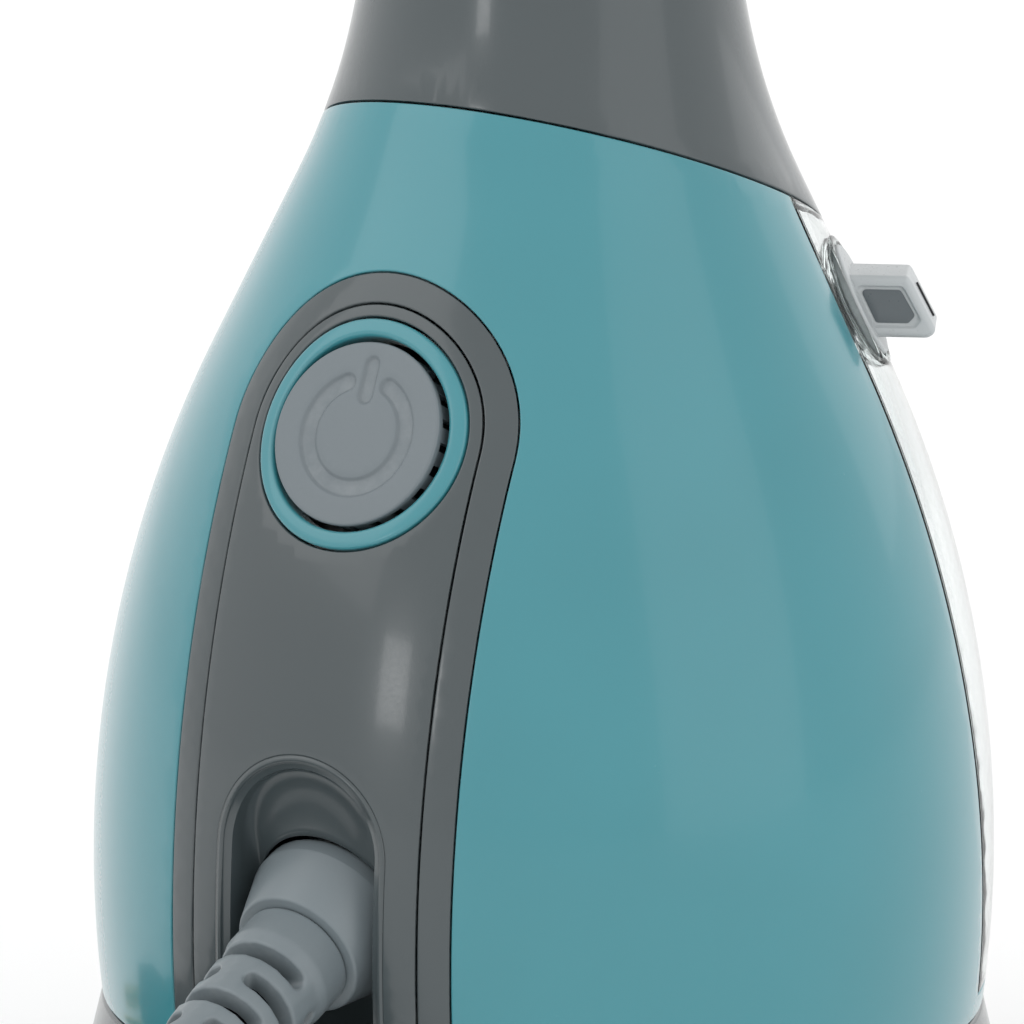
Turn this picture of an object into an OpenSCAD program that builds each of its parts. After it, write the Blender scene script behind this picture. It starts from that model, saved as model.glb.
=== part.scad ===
// Upright hand-held wallpaper steamer.
// Millimetres. +Z up, origin under the middle of the base, -Y is the side with the
// power button and the mains lead, +Y is the side with the water tank and the steam plate.

/* [Body] */
// Radius of the body at its widest
belly_r = 60; // [58:0.5:61]
// Height of the widest point
belly_z = 50; // [49:0.5:51]
// Radius of the long convex side arc
belly_arc_r = 157; // [155:1:160]
// Slope of the shoulder from the vertical, degrees
shoulder_angle = 26; // [25.5:0.1:26.5]
// Length of the straight part of the shoulder
shoulder_len = 25.6; // [25:0.1:26]
// Radius of the concave arc from shoulder to neck
neck_arc_r = 87; // [86:0.5:88]
// Wall thickness of the mouldings
wall = 2.5; // [2.2:0.1:2.6]
// Gap between neighbouring mouldings
seam = 0.3; // [0.2:0.05:0.4]
// Radius of the base skirt
skirt_r = 62; // [61.5:0.1:63]

/* [Neck and handle] */
// Height of the neck seam at the back
neck_seam_z = 154.2; // [153.4:0.2:155]
// Slope of the neck seam, down towards the front, degrees
neck_seam_angle = 21.1; // [20.5:0.1:21.7]
// Radius of the two shallow arcs of the hand grip
grip_arc_r = 300; // [290:5:310]
// Height of the top of the hand grip
grip_top_z = 284.5; // [282:0.5:286]

/* [Tank] */
// Lean of the seam between rear shell and tank, degrees
tank_seam_angle = 6.6; // [6.4:0.1:6.8]
// Height of the tank's underside
tank_z = 34.5; // [34:0.1:35]
// Wall of the clear tank
tank_wall = 2; // [1.8:0.1:2.2]
// Direction of the filler port, turned from +X towards +Y, degrees
port_turn = 28; // [27:1:29]
// Height of the middle of the filler port
port_z = 125.5; // [125:0.5:126]
// Radius of the filler port
port_r = 6.3; // [6:0.1:6.6]

/* [Control panel] */
// Slope of the panel's surface under the button, degrees
panel_tilt = 24.3; // [24:0.1:24.6]
// Half width of the outer bezel
bezel_half = 21.5; // [21:0.1:22]
// Half width of the inlay
inlay_half = 17.3; // [17:0.1:17.6]
// Outer radius of the coloured ring
ring_r = 15.2; // [15:0.1:15.5]
// Radius of the power button
button_r = 12.1; // [11.9:0.1:12.2]

/* [Mains lead] */
// Diameter of the lead
cord_d = 7; // [6.8:0.1:7]
// Angle of the lead below the horizontal where it leaves, degrees
cord_dip = 22; // [21:0.5:23]
// Turns in the stored coil
coil_turns = 7; // [6:0.5:7]
// Mean radius of the stored coil
coil_mean_r = 40.5; // [40:0.5:41]

/* [Steam plate] */
// Width of the wallpaper plate
plate_w = 150; // [146:1:156]
// Height of the wallpaper plate
plate_h = 96; // [92:1:98]

/* [Hidden] */
$fn = 96;
arc_fn = 360;
eps = 0.01;
big = 400;

teal = [0.33, 0.58, 0.62];
slate = [0.36, 0.38, 0.40];
button_grey = [0.50, 0.53, 0.55];
cord_grey = [0.55, 0.58, 0.60];
clear = [0.85, 0.90, 0.90, 0.45];
black = [0.08, 0.08, 0.09];
metal = [0.72, 0.73, 0.74];
brass = [0.78, 0.62, 0.32];
rubber = [0.15, 0.15, 0.16];
silicone = [0.80, 0.80, 0.78];
board_green = [0.10, 0.35, 0.20];

// Side profile: convex belly arc, straight shoulder, concave neck arc, then the
// grip's convex and concave arcs, each tangent to the next.
shoulder_dir = [cos(shoulder_angle), sin(shoulder_angle)];
belly_centre = [belly_r - belly_arc_r, belly_z];
shoulder_foot = belly_centre + belly_arc_r * shoulder_dir;
shoulder_head = shoulder_foot + shoulder_len * [-shoulder_dir[1], shoulder_dir[0]];
neck_centre = shoulder_head + neck_arc_r * shoulder_dir;
neck_r = neck_centre[0] - neck_arc_r;
neck_z = neck_centre[1];
grip_lean = 6;
grip_dir = [cos(grip_lean), sin(grip_lean)];
grip_low_centre = [neck_r - grip_arc_r, neck_z];
grip_waist = grip_low_centre + grip_arc_r * grip_dir;
grip_high_centre = grip_waist + grip_arc_r * grip_dir;

shell_z = 31.3;
skirt_top_z = 31;
skirt_mid_z = 18;
skirt_top_r = 58.9;
foot_h = 3;
floor_t = 3;
floor_z = foot_h + floor_t;
neck_seam_y = -27.3;
tank_seam_y = 7.5;
tank_seam_z = 131;

panel_centre = [0, -(belly_centre[0] + belly_arc_r * cos(panel_tilt)),
                belly_z + belly_arc_r * sin(panel_tilt)];
inlay_t = 1.3;

tab_half_w = 4.7;
tab_half_h = 4.1;
tab_out = 8.8;
port_s = shoulder_foot[0] - (port_z - shoulder_foot[1]) * tan(shoulder_angle);

// Cord exit: a barrel in an arched pocket
barrel_centre = [0, -49.6, 52.5];
barrel_r = 11.3;
barrel_front_r = 8.3;
barrel_len = 10;
pocket_half = 11.6;
pocket_top_z = 73.5;
pocket_low_z = 35.4;
plinth_half = 9;
collar_r = 7.5;
sleeve_len = 54;
sleeve_pitch = 4.8;
sleeve_rows = 8;
cord_r = cord_d / 2;
cord_bore_r = cord_r + 0.25;

head_z = 312;
head_half_w = 52;
head_half_h = 32;
head_front_y = 50;

// Pieces inside
chassis_z = 40;
chassis_t = 3;
leg_points = [[-36, -24], [36, -24], [-34, 6], [34, 6]];
leg_r = 4.5;
boiler_at = [-12, -17];
boiler_r = 19;
boiler_top_z = 98;
pump_at = [24, -20];
pump_r = 13;
pump_z = 50;
pump_top_z = 88;
inlet_x = 2;
pipe_y = -10;
pipe_r = 3.5;
valve_at = [pump_at[0], 34];
trigger_pin_at = [13, 254];

// The lead's route from the barrel to the coil, and from the coil to the plug
coil_centre = [-60, -148];
coil_layers = 2;
coil_half_w = (coil_turns / coil_layers + 1) * cord_r;
coil_h = coil_layers * cord_d;
cord_route = [
    [0, -36, 58], [0, -49.6, 52.5], [0, -62.6, 47.2], [0, -75, 42.2], [0, -90, 36.2],
    [0, -105, 30.1], [-0.2, -116, 25.4], [-0.6, -126, 20.2], [-1.4, -135, 14.8],
    [-2.8, -143, 9.8], [-4.8, -150.5, 6], [-7.4, -158, 4], [-10.4, -166, 3.5]];
tail_route = [
    [-109.6, -130, 10.5], [-106.6, -121.6, 10.4], [-104.2, -113, 9.6], [-103, -104, 8.2],
    [-102.5, -96, 7.5], [-102.5, -90, 7.5], [-102.5, -84, 7.5]];
plug_at = [-102.5, -84, 7.5];

// ---------- shared shapes ----------

// Points along an arc of centre c and radius r, from angle a0 to a1; a negative radius
// gives the arc on the other side of its centre, for the concave stretches
function arc(c, r, a0, a1, n) =
    [for (i = [0 : n]) let (a = a0 + (a1 - a0) * i / n) c + r * [cos(a), sin(a)]];

// Half profile of the body and grip, all of it moved inwards by t
function profile(t) = concat(
    [[0, belly_z - 30]],
    arc(belly_centre, belly_arc_r - t, -11, shoulder_angle, 14),
    arc(neck_centre, -(neck_arc_r + t), shoulder_angle, 0, 8),
    arc(grip_low_centre, grip_arc_r - t, 1.5, grip_lean, 3),
    arc(grip_high_centre, -(grip_arc_r + t), grip_lean - 2, -9, 6),
    [[0, grip_top_z + 5]]);

// The body and grip as one turned solid, moved inwards by t, between two heights
module body_solid(t, low, high) {
    rotate_extrude($fn = 180) intersection() {
        polygon(profile(t));
        translate([0, low]) square([belly_r + 20, high - low]);
    }
}

// Everything above the slanted neck seam
module above_neck_seam(lift = 0) {
    translate([0, neck_seam_y, neck_seam_z + lift]) rotate([-neck_seam_angle, 0, 0])
        translate([-big / 2, -big / 2, 0]) cube([big, big, big]);
}

// Everything on the tank's side of the tank seam
module tank_side(shift = 0) {
    translate([0, tank_seam_y, tank_seam_z]) rotate([tank_seam_angle, 0, 0])
        translate([-big / 2, shift, -big / 2]) cube([big, big, big]);
}

// Frame on the panel under the button: X across, Y up the slope, Z outwards
module on_panel() {
    translate(panel_centre) rotate([90 - panel_tilt, 0, 0]) children();
}

// Long panel outline with a round top, cut inwards through the wall
module panel_cut(half) {
    on_panel() translate([0, 0, -34]) {
        cylinder(r = half, h = 60);
        translate([-half, -110, 0]) cube([2 * half, 110, 60]);
    }
}

// Frame along the lead where it leaves: Z outwards along the lead
module on_cord() {
    translate(barrel_centre) rotate([90 + cord_dip, 0, 0]) children();
}

// Arched outline of the cord pocket, cut straight in from the back of the body
module pocket_arch(grow = 0) {
    half = pocket_half + grow;
    top = pocket_top_z - pocket_half;
    rotate([90, 0, 0]) translate([0, 0, 30]) {
        translate([0, top, 0]) cylinder(r = half, h = 40);
        translate([-half, pocket_low_z - grow, 0])
            cube([2 * half, top - pocket_low_z + grow, 40]);
    }
}

// The arched pocket as a solid from its sloping back wall outwards
module pocket_space(grow = 0) {
    intersection() {
        pocket_arch(grow);
        on_cord() translate([-40, -60, -grow]) cube([80, 120, 60]);
    }
}

// Frame on the filler port: Z outwards, square to the sloping wall
module on_port() {
    rotate([0, 0, port_turn]) translate([port_s, 0, port_z])
        rotate([0, 90 - shoulder_angle, 0]) children();
}

// Upright cylinder at a point
module post(at, r, low, high) {
    translate([at[0], at[1], low]) cylinder(r = r, h = high - low);
}

// Quarter bend of a round tube in the XY plane, from +X towards +Y about the origin
module bend(bend_r, tube_r, angle = 90) {
    rotate_extrude(angle = angle) translate([bend_r, 0]) circle(r = tube_r);
}

// Rings of points swept along a list of points, as one closed skin
module swept_tube(path, r, sides) {
    n = len(path);
    dirs = [for (i = [0 : n - 1]) unit(path[min(i + 1, n - 1)] - path[max(i - 1, 0)])];
    rings = [for (i = [0 : n - 1]) let (u = unit(cross(dirs[i], side_of(dirs[i]))),
                                        v = cross(dirs[i], u))
        for (k = [0 : sides - 1])
            path[i] + r * (cos(360 * k / sides) * u + sin(360 * k / sides) * v)];
    walls = [for (i = [0 : n - 2]) for (k = [0 : sides - 1])
        [i * sides + k, i * sides + (k + 1) % sides,
         (i + 1) * sides + (k + 1) % sides, (i + 1) * sides + k]];
    low_cap = [[for (k = [sides - 1 : -1 : 0]) k]];
    high_cap = [[for (k = [0 : sides - 1]) (n - 1) * sides + k]];
    polyhedron(points = rings, faces = concat(walls, low_cap, high_cap), convexity = 6);
}

function unit(v) = v / norm(v);
function side_of(d) = abs(d[0]) > 0.9 ? [0, 1, 0] : [1, 0, 0];

// Points of a smooth curve through p, with n steps between neighbours
function between(a, b, c, d, s) =
    0.5 * (2 * b + (c - a) * s + (2 * a - 5 * b + 4 * c - d) * s * s
           + (3 * b - a - 3 * c + d) * s * s * s);
function smooth(p, n) = let (m = len(p)) concat(
    [for (i = [0 : m - 2]) for (k = [0 : n - 1])
        between(p[max(i - 1, 0)], p[i], p[i + 1], p[min(i + 2, m - 1)], k / n)],
    [p[m - 1]]);

// Helical compression spring standing on z = 0
module spring(coil_r, wire_r, height, turns) {
    steps = turns * 12;
    path = [for (i = [0 : steps]) [coil_r * cos(30 * i), coil_r * sin(30 * i),
                                   wire_r + (height - 2 * wire_r) * i / steps]];
    swept_tube(path, wire_r, 6);
}

// ---------- base ----------

// Turned outside of the skirt, moved inwards by t: a straight drum with a rounded shoulder
module skirt_solid(t, low, high) {
    rise = skirt_top_z - skirt_mid_z;
    drop = skirt_r - skirt_top_r;
    arc_r = (rise * rise + drop * drop) / (2 * drop);
    arc_x = skirt_r - arc_r;
    post([0, 0], skirt_r - t, low, skirt_mid_z);
    rotate_extrude() intersection() {
        translate([arc_x, skirt_mid_z]) circle(r = arc_r - t, $fn = arc_fn);
        translate([arc_x, skirt_mid_z]) square([big, high - skirt_mid_z]);
    }
    post([0, 0], arc_x + 1, skirt_mid_z - 1, high);
}

module base_skirt() color(slate) difference() {
    union() {
        skirt_solid(0, 2, skirt_top_z);
        post([0, 0], 56.3, 25, 33.6);
    }
    skirt_solid(wall, 1, 29);
    post([0, 0], 59.5, 1, 8);
    post([0, 0], 54.3, 20, 35);
}

module base_plate() color(slate) difference() {
    union() {
        post([0, 0], 59.3, foot_h, floor_z);
        post([0, 0], 12, 0, foot_h);
    }
    for (p = leg_points) {
        post(p, 1.7, 0, 10);
        post(p, 3.3, 2, foot_h + 1.6);
    }
}

module rubber_feet() color(rubber) for (a = [45 : 90 : 315])
    rotate([0, 0, a]) post([46, 0], 7, 0, foot_h);

module base_screws() color(metal) for (p = leg_points) {
    post(p, 3, foot_h, foot_h + 1.5);
    post(p, 1.5, foot_h + 1.5, 17);
}

// ---------- body ----------

module rear_shell() color(teal) difference() {
    body_solid(0, shell_z, 175);
    body_solid(wall, shell_z - 1, 176);
    above_neck_seam(-seam);
    difference() {
        tank_side();
        post([0, 0], big, 0, tank_z - seam);
    }
    difference() {
        panel_cut(bezel_half);
        body_solid(inlay_t, 20, 200);
    }
    on_panel() translate([0, 0, -20]) cylinder(r = ring_r + 0.2, h = 40);
    pocket_arch(0.2);
}

module tank_bulkhead() color(silicone) intersection() {
    body_solid(wall + 0.1, tank_z, 175);
    difference() {
        tank_side(-2.2);
        tank_side(-seam);
        above_neck_seam(-1);
    }
}

module water_tank() color(clear) difference() {
    union() {
        difference() {
            body_solid(0, tank_z, 175);
            above_neck_seam(-seam);
            intersection() {
                body_solid(tank_wall, tank_z + tank_wall, 175);
                difference() {
                    tank_side(seam + tank_wall);
                    above_neck_seam(-seam - tank_wall);
                }
            }
        }
        intersection() {
            body_solid(0.5, tank_z, 175);
            on_port() translate([0, 0, -4.5]) cylinder(r = 9, h = 4);
        }
    }
    difference() {
        translate([-big / 2, -big / 2, 0]) cube([big, big, big]);
        tank_side(seam);
    }
    on_port() translate([0, 0, -7]) cylinder(r = port_r, h = 17);
    on_port() translate([0, 0, -0.8]) cylinder(r = 8.1, h = 10);
    post(valve_at, 4, tank_z - 1, tank_z + 5);
}

module filler_stopper() color(button_grey) {
    difference() {
        union() {
            on_port() translate([0, 0, -6]) difference() {
                cylinder(r = port_r - 0.05, h = 5.3);
                translate([0, 0, -1]) cylinder(r = port_r - 1.8, h = 4);
            }
            on_port() translate([0, 0, -0.8]) cylinder(r = 7.8, h = 1.5);
            rotate([0, 0, port_turn]) rotate([90, 0, 0]) translate([0, 0, -tab_half_w])
                linear_extrude(2 * tab_half_w) tab_outline(0);
        }
        for (side = [-1, 1])
            rotate([0, 0, port_turn]) rotate([90, 0, 0]) translate([0, 0, side * tab_half_w])
                linear_extrude(0.7, center = true) tab_outline(1.2);
        on_port() translate([0, 0, -4.3]) rotate_extrude() translate([port_r - 0.05, 0])
            circle(r = 0.75, $fn = 24);
    }
}

// Side view of the pull tab, inset by t: along the port's heading and up
module tab_outline(t) {
    base_s = port_s - 0.6;
    slope = tan(shoulder_angle);
    low = port_z - tab_half_h + t;
    high = port_z + tab_half_h - t;
    out = tab_out - t;
    function wall_s(z) = base_s - (z - port_z) * slope;
    polygon([[wall_s(high) + t, high], [wall_s(high) + out + 0.6, high - 0.5],
             [wall_s(low + 1) + out + 0.6, low + 1], [wall_s(low) + out - 0.8, low],
             [wall_s(low) + t, low]]);
}

module stopper_seal() color(rubber) on_port() translate([0, 0, -4.3]) difference() {
    rotate_extrude() translate([port_r - 0.05, 0]) circle(r = 0.7, $fn = 24);
    difference() {
        cylinder(r = port_r + 3, h = 4, center = true);
        cylinder(r = port_r - 0.02, h = 5, center = true);
    }
}

module tank_valve() color(metal) difference() {
    union() {
        post(valve_at, 6, 26, tank_z - 0.6);
        post(valve_at, 3.95, 26, tank_z + 3.5);
        post(valve_at, 2.6, 20, 27);
    }
    post(valve_at, 1.6, 19, tank_z + 5);
}

module valve_seal() color(rubber) difference() {
    post(valve_at, 6, tank_z - 0.6, tank_z);
    post(valve_at, 4, tank_z - 1, tank_z + 1);
}

module neck_shell() color(slate) difference() {
    union() {
        difference() {
            body_solid(0, 100, grip_top_z);
            body_solid(wall, 99, grip_top_z + 1);
        }
        for (side = [-1, 1]) intersection() {
            body_solid(1, 240, 262);
            translate([9.5 * side - 1.75, trigger_pin_at[0] - 4, trigger_pin_at[1] - 4])
                cube([3.5, 12, 8]);
        }
    }
    difference() {
        translate([-big / 2, -big / 2, 0]) cube([big, big, 190]);
        above_neck_seam();
    }
    translate([-7, 5, 220]) cube([14, 30, 38]);
    translate([-20, trigger_pin_at[0], trigger_pin_at[1]]) rotate([0, 90, 0])
        cylinder(r = 1.52, h = 34);
}

// ---------- control panel ----------

module panel_skin(low, high) {
    intersection() {
        difference() {
            body_solid(0, shell_z, 160);
            body_solid(high, shell_z - 1, 161);
        }
        children();
    }
}

module panel_bezel() color(slate) panel_skin(0, inlay_t - 0.05) difference() {
    panel_cut(bezel_half - 0.2);
    panel_cut(inlay_half);
}

module panel_inlay() color(slate) difference() {
    panel_skin(0, inlay_t - 0.05) panel_cut(inlay_half - 0.25);
    on_panel() translate([0, 0, -20]) cylinder(r = ring_r + 0.2, h = 40);
    pocket_arch(0.2);
}

// The ring follows the curved wall and stands a little proud of it
module button_ring() color(teal) difference() {
    intersection() {
        body_solid(-0.25, 90, 140);
        on_panel() translate([0, 0, -8]) cylinder(r = ring_r, h = 20);
    }
    body_solid(4.5, 80, 150);
    on_panel() translate([0, 0, -20]) cylinder(r = button_r + 0.7, h = 40);
}

module power_button() color(button_grey) on_panel() difference() {
    translate([0, 0, -5]) cylinder(r = button_r, h = 5.4);
    translate([0, 0, -6]) cylinder(r = button_r - 1.6, h = 4.4);
    translate([0, 0, -0.1]) power_symbol();
}

// Open circle with an upright bar in its gap, engraved
module power_symbol() {
    circle_r = 7.2;
    groove_r = 0.95;
    bar_r = 1;
    bar_half = 2.2;
    gap_half = 28;
    cut_half = 8;
    difference() {
        cylinder(r = circle_r + groove_r, h = 1);
        translate([0, 0, -1]) cylinder(r = circle_r - groove_r, h = 3);
        translate([0, 0, -1]) linear_extrude(3)
            polygon([[0, 0], [-cut_half, 15], [cut_half, 15]]);
    }
    for (side = [-1, 1]) rotate([0, 0, side * gap_half]) translate([0, circle_r, 0])
        cylinder(r = groove_r, h = 1);
    translate([0, circle_r, 0]) linear_extrude(1) {
        translate([-bar_r, -bar_half]) square(2 * [bar_r, bar_half]);
        for (side = [-1, 1]) translate([0, side * bar_half]) circle(r = bar_r);
    }
}

module button_spring() color(metal) on_panel() translate([0, 0, -9])
    spring(4.2, 0.4, 6.9, 5);

module power_switch() color(black) on_panel() {
    translate([-7, -7, -19]) cube([14, 14, 9.8]);
    translate([0, 0, -9.5]) cylinder(r = 2.5, h = 4.8);
    for (side = [-1, 1]) translate([side * 4 - 0.4, -2, -22.8]) cube([0.8, 4, 4]);
}

// ---------- cord exit ----------

module cord_pocket() color(slate) {
    difference() {
        intersection() {
            pocket_space(1.5);
            body_solid(wall + 0.1, 33.9, 90);
        }
        pocket_space(0);
        on_cord() translate([0, 0, -10]) cylinder(r = 9, h = 12);
    }
    difference() {
        translate([-plinth_half, -56, pocket_low_z - eps]) cube([2 * plinth_half, 14, 5]);
        on_cord() translate([-20, -30, -60.5]) cube([40, 60, 60]);
    }
}

module cord_barrel() color(cord_grey) on_cord() difference() {
    union() {
        cylinder(r1 = barrel_r, r2 = barrel_front_r, h = barrel_len);
        translate([0, 0, -6]) cylinder(r = 8.9, h = 6.5);
    }
    translate([0, 0, -7]) cylinder(r = 5.2, h = barrel_len + 20);
}

module barrel_retainer() color(metal) on_cord() translate([0, 0, -5]) difference() {
    cylinder(r = 10.5, h = 1.2);
    translate([0, 0, -1]) cylinder(r = 8.95, h = 4);
}

// Slotted sleeve that turns with the lead's axis: a collar, then staggered slots
module strain_relief() color(cord_grey) on_cord() translate([0, 0, -3]) difference() {
    union() {
        cylinder(r = 5.1, h = barrel_len + 4);
        translate([0, 0, barrel_len + 3.1]) cylinder(r = collar_r, h = 6);
        translate([0, 0, barrel_len + 9]) cylinder(r1 = 7.2, r2 = 5.6, h = sleeve_len - 15);
    }
    translate([0, 0, -1]) cylinder(r = cord_bore_r, h = sleeve_len + 20);
    for (row = [0 : sleeve_rows - 1])
        translate([0, 0, barrel_len + 10.2 + row * sleeve_pitch])
            rotate([0, 0, row * 90]) for (side = [-1, 1])
                translate([-10, side > 0 ? 1.6 : -11.6, 0]) cube([20, 10, 2.3]);
}

module cord_clamp() color(black) difference() {
    translate([-8, -40, chassis_z + chassis_t]) cube([16, 3.6, 22]);
    on_cord() translate([0, 0, -20]) cylinder(r = cord_r + 0.1, h = 20);
    post(boiler_at, boiler_r + 2.1, chassis_z, chassis_z + 7.1);
}

module terminal_block() color(silicone) translate([-46, -24, chassis_z + chassis_t])
    difference() {
        cube([10, 22, 12]);
        for (i = [0 : 2]) translate([5, 4 + 7 * i, 6]) cylinder(r = 1.8, h = 8);
    }

// ---------- inside ----------

module chassis() color(slate) difference() {
    union() {
        intersection() {
            body_solid(wall + 0.5, chassis_z, chassis_z + chassis_t);
            difference() {
                translate([-big / 2, -big / 2, 0]) cube([big, big, big]);
                tank_side(-2.6);
            }
        }
        for (p = leg_points) post(p, leg_r, floor_z, chassis_z + eps);
        post(boiler_at, boiler_r + 2, chassis_z + chassis_t - eps, chassis_z + 7);
    }
    translate([-18, -80, 0]) cube([36, 40, 100]);
    post(boiler_at, boiler_r - 3, 30, 60);
    post(valve_at, 7, 30, 60);
    translate([pump_at[0], pump_at[1], 30]) cylinder(r = 4.2, h = 20);
    for (p = leg_points) post(p, 1.55, 0, 18);
    for (p = mount_points()) post(p, 1.4, 30, 60);
}

function mount_points() = [for (a = [30, 150, 270])
    [pump_at[0] + 9.5 * cos(a), pump_at[1] + 9.5 * sin(a)]];

module chassis_screws() color(metal) for (p = mount_points()) {
    post(p, 2.4, chassis_z - 1.6, chassis_z);
    post(p, 1.3, chassis_z - eps, pump_z - 1);
}

module boiler() color(metal) difference() {
    post(boiler_at, boiler_r, chassis_z + 7, boiler_top_z);
    post(boiler_at, 14.5, 74, 92);
    translate([boiler_at[0], boiler_at[1], 62]) bend(12, 3.1, 360);
    for (side = [-1, 1]) post(boiler_at + [12 * side, 0], 2.1, 40, 62);
    post([inlet_x, pump_at[1]], 3.05, 88, 110);
    post([0, pipe_y], pipe_r + 0.05, 90, 110);
}

module heating_element() color(brass) {
    translate([boiler_at[0], boiler_at[1], 62]) bend(12, 3, 360);
    for (side = [-1, 1]) post(boiler_at + [12 * side, 0], 2, 41, 62);
}

module thermostat() color(black) {
    post(boiler_at + [-7, 3], 6, boiler_top_z, boiler_top_z + 6);
    for (side = [-1, 1]) translate([boiler_at[0] - 7.4, boiler_at[1] + 3 + 3 * side, 0])
        post([0, 0], 0.6, boiler_top_z + 5.5, boiler_top_z + 10);
}

module thermal_fuse() color(metal) translate([boiler_at[0] - 4, boiler_at[1] - 10,
                                             boiler_top_z]) {
    translate([-6, -3, 0]) cube([12, 6, 1.2]);
    translate([-7, 0, 3]) rotate([0, 90, 0]) cylinder(r = 2, h = 14);
}

module pump() color(black) {
    post(pump_at, pump_r, pump_z, 78);
    post(pump_at, 8, 78 - eps, 84);
    difference() {
        post(pump_at, 3, 83, pump_top_z);
        post(pump_at, 1.6, 84.5, pump_top_z + 1);
    }
}

module pump_mounts() color(rubber) for (p = mount_points()) difference() {
    post(p, 3.2, chassis_z + chassis_t, pump_z);
    post(p, 1.35, chassis_z, pump_z + 1);
}

// Water line from the tank's valve under the chassis and up into the pump
module suction_hose() color(silicone) {
    bend_r = 12;
    run_z = 10.2;
    tube_r = 3.2;
    difference() {
        union() {
            post(valve_at, tube_r, run_z + bend_r, 25.8);
            translate([valve_at[0], valve_at[1] - bend_r, run_z + bend_r])
                rotate([-90, 0, 90]) bend(bend_r, tube_r);
            translate([valve_at[0], pump_at[1] + bend_r, run_z]) rotate([-90, 0, 0])
                cylinder(r = tube_r, h = valve_at[1] - pump_at[1] - 2 * bend_r);
            translate([valve_at[0], pump_at[1] + bend_r, run_z + bend_r])
                rotate([-90, 0, -90]) bend(bend_r, tube_r);
            post([valve_at[0], pump_at[1]], tube_r, run_z + bend_r, pump_z);
        }
        post(valve_at, 2.65, 19.5, 27);
    }
}

// Water line from the pump over to the boiler
module pressure_hose() color(silicone) {
    hose_r = (pump_at[0] - inlet_x) / 2;
    hose_z = 101;
    difference() {
        union() {
            translate([inlet_x + hose_r, pump_at[1], hose_z]) rotate([90, 0, 0])
                bend(hose_r, 3, 180);
            post([inlet_x, pump_at[1]], 3, 93, hose_z);
            post(pump_at, 3, pump_top_z, hose_z);
        }
        post(pump_at, 1.6, pump_top_z - 1, hose_z - 2);
    }
}

// Steam line up through the hand grip and forward into the head
module steam_pipe() color(metal) {
    turn_r = 12;
    post([0, pipe_y], pipe_r, boiler_top_z - 5, head_z - turn_r);
    translate([0, pipe_y + turn_r, head_z - turn_r]) rotate([90, 0, -90])
        bend(turn_r, pipe_r);
    translate([0, pipe_y + turn_r, head_z]) rotate([-90, 0, 0])
        cylinder(r = pipe_r, h = 38 - pipe_y - turn_r);
}

module pipe_clip() color(black) translate([0, 0, 190]) difference() {
    intersection() {
        translate([-7, -30, 0]) cube([14, 26, 6]);
        translate([0, 0, -190]) body_solid(wall + 0.1, 185, 200);
    }
    post([0, pipe_y], pipe_r + 0.05, -1, 8);
}

module control_board() color(board_green) translate([40, -30, 46]) {
    cube([1.6, 28, 38]);
    translate([-3, 4, 6]) cube([3, 8, 8]);
    translate([-3, 16, 20]) cube([3, 8, 12]);
    translate([1.6, 4, 10]) cube([4, 14, 10]);
}

// ---------- trigger ----------

module trigger() color(button_grey) difference() {
    y = trigger_pin_at[0];
    z = trigger_pin_at[1];
    union() {
        across_grip(12.4) translate([y, z]) circle(r = 3.6);
        across_grip(12.4) polygon([[y - 2, z - 2], [y + 3.2, z + 1.6], [24.5, 248], [26.2, 240],
            [25.8, 230], [23.6, 223], [18.5, 223], [19.5, 232], [18.5, 243]]);
    }
    across_grip(20) translate([y, z]) circle(r = 1.56);
}

// A side view, in Y and Z, given a width across the grip
module across_grip(w) {
    translate([-w / 2, 0, 0]) rotate([90, 0, 90]) linear_extrude(w) children();
}

module trigger_pin() color(metal) translate([-13, trigger_pin_at[0], trigger_pin_at[1]])
    rotate([0, 90, 0]) cylinder(r = 1.5, h = 26);

module trigger_spring() color(metal) translate([0, 8.2, 230]) rotate([-90, 0, 0])
    spring(2.8, 0.35, 10.8, 6);

module trigger_switch() color(black) {
    translate([-5.5, 0, 224]) cube([11, 8, 13]);
    translate([-2, 8 - eps, 224.2]) cube([4, 2.5, 2]);
}

// ---------- steam head ----------

module head_form(t) {
    hull($fn = 48) {
        translate([0, 0, grip_top_z + seam]) cylinder(r = neck_r - 0.3 - t, h = 2);
        translate([0, -1, head_z]) sphere(r = 27 - t, $fn = 48);
        for (sx = [-1, 1]) for (sz = [-1, 1])
            translate([sx * (head_half_w - 8), head_front_y - 8 + t, head_z + sz * (head_half_h - 8)])
                rotate([-90, 0, 0]) cylinder(r = 8 - t, h = 8 - t, $fn = 32);
    }
}

module head_shell() color(slate) difference() {
    head_form(0);
    post([0, 0], neck_r + 0.9, grip_top_z - 20, grip_top_z + seam);
    head_form(wall);
    rounded_plate(2 * (head_half_w - wall), 2 * (head_half_h - wall), 6, head_front_y - 6, 8);
    post([0, 0], neck_r - 3.2, grip_top_z - 2, grip_top_z + 6);
}

// Upright plate with round corners, its faces square to Y
module rounded_plate(w, h, corner, y, t) {
    translate([0, y, head_z]) rotate([-90, 0, 0]) rounded_block(w, h, corner, t);
}

// Block standing on z = 0 with four round corners
module rounded_block(w, h, corner, t) {
    translate([corner - w / 2, -h / 2, 0]) cube([w - 2 * corner, h, t]);
    translate([-w / 2, corner - h / 2, 0]) cube([w, h - 2 * corner, t]);
    for (sx = [-1, 1]) for (sy = [-1, 1])
        translate([sx * (w / 2 - corner), sy * (h / 2 - corner), 0])
            cylinder(r = corner, h = t);
}

function screw_points() = [for (sx = [-1, 1]) for (sz = [-1, 1])
    [sx * (head_half_w - 8), head_z + sz * (head_half_h - 8)]];

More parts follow.
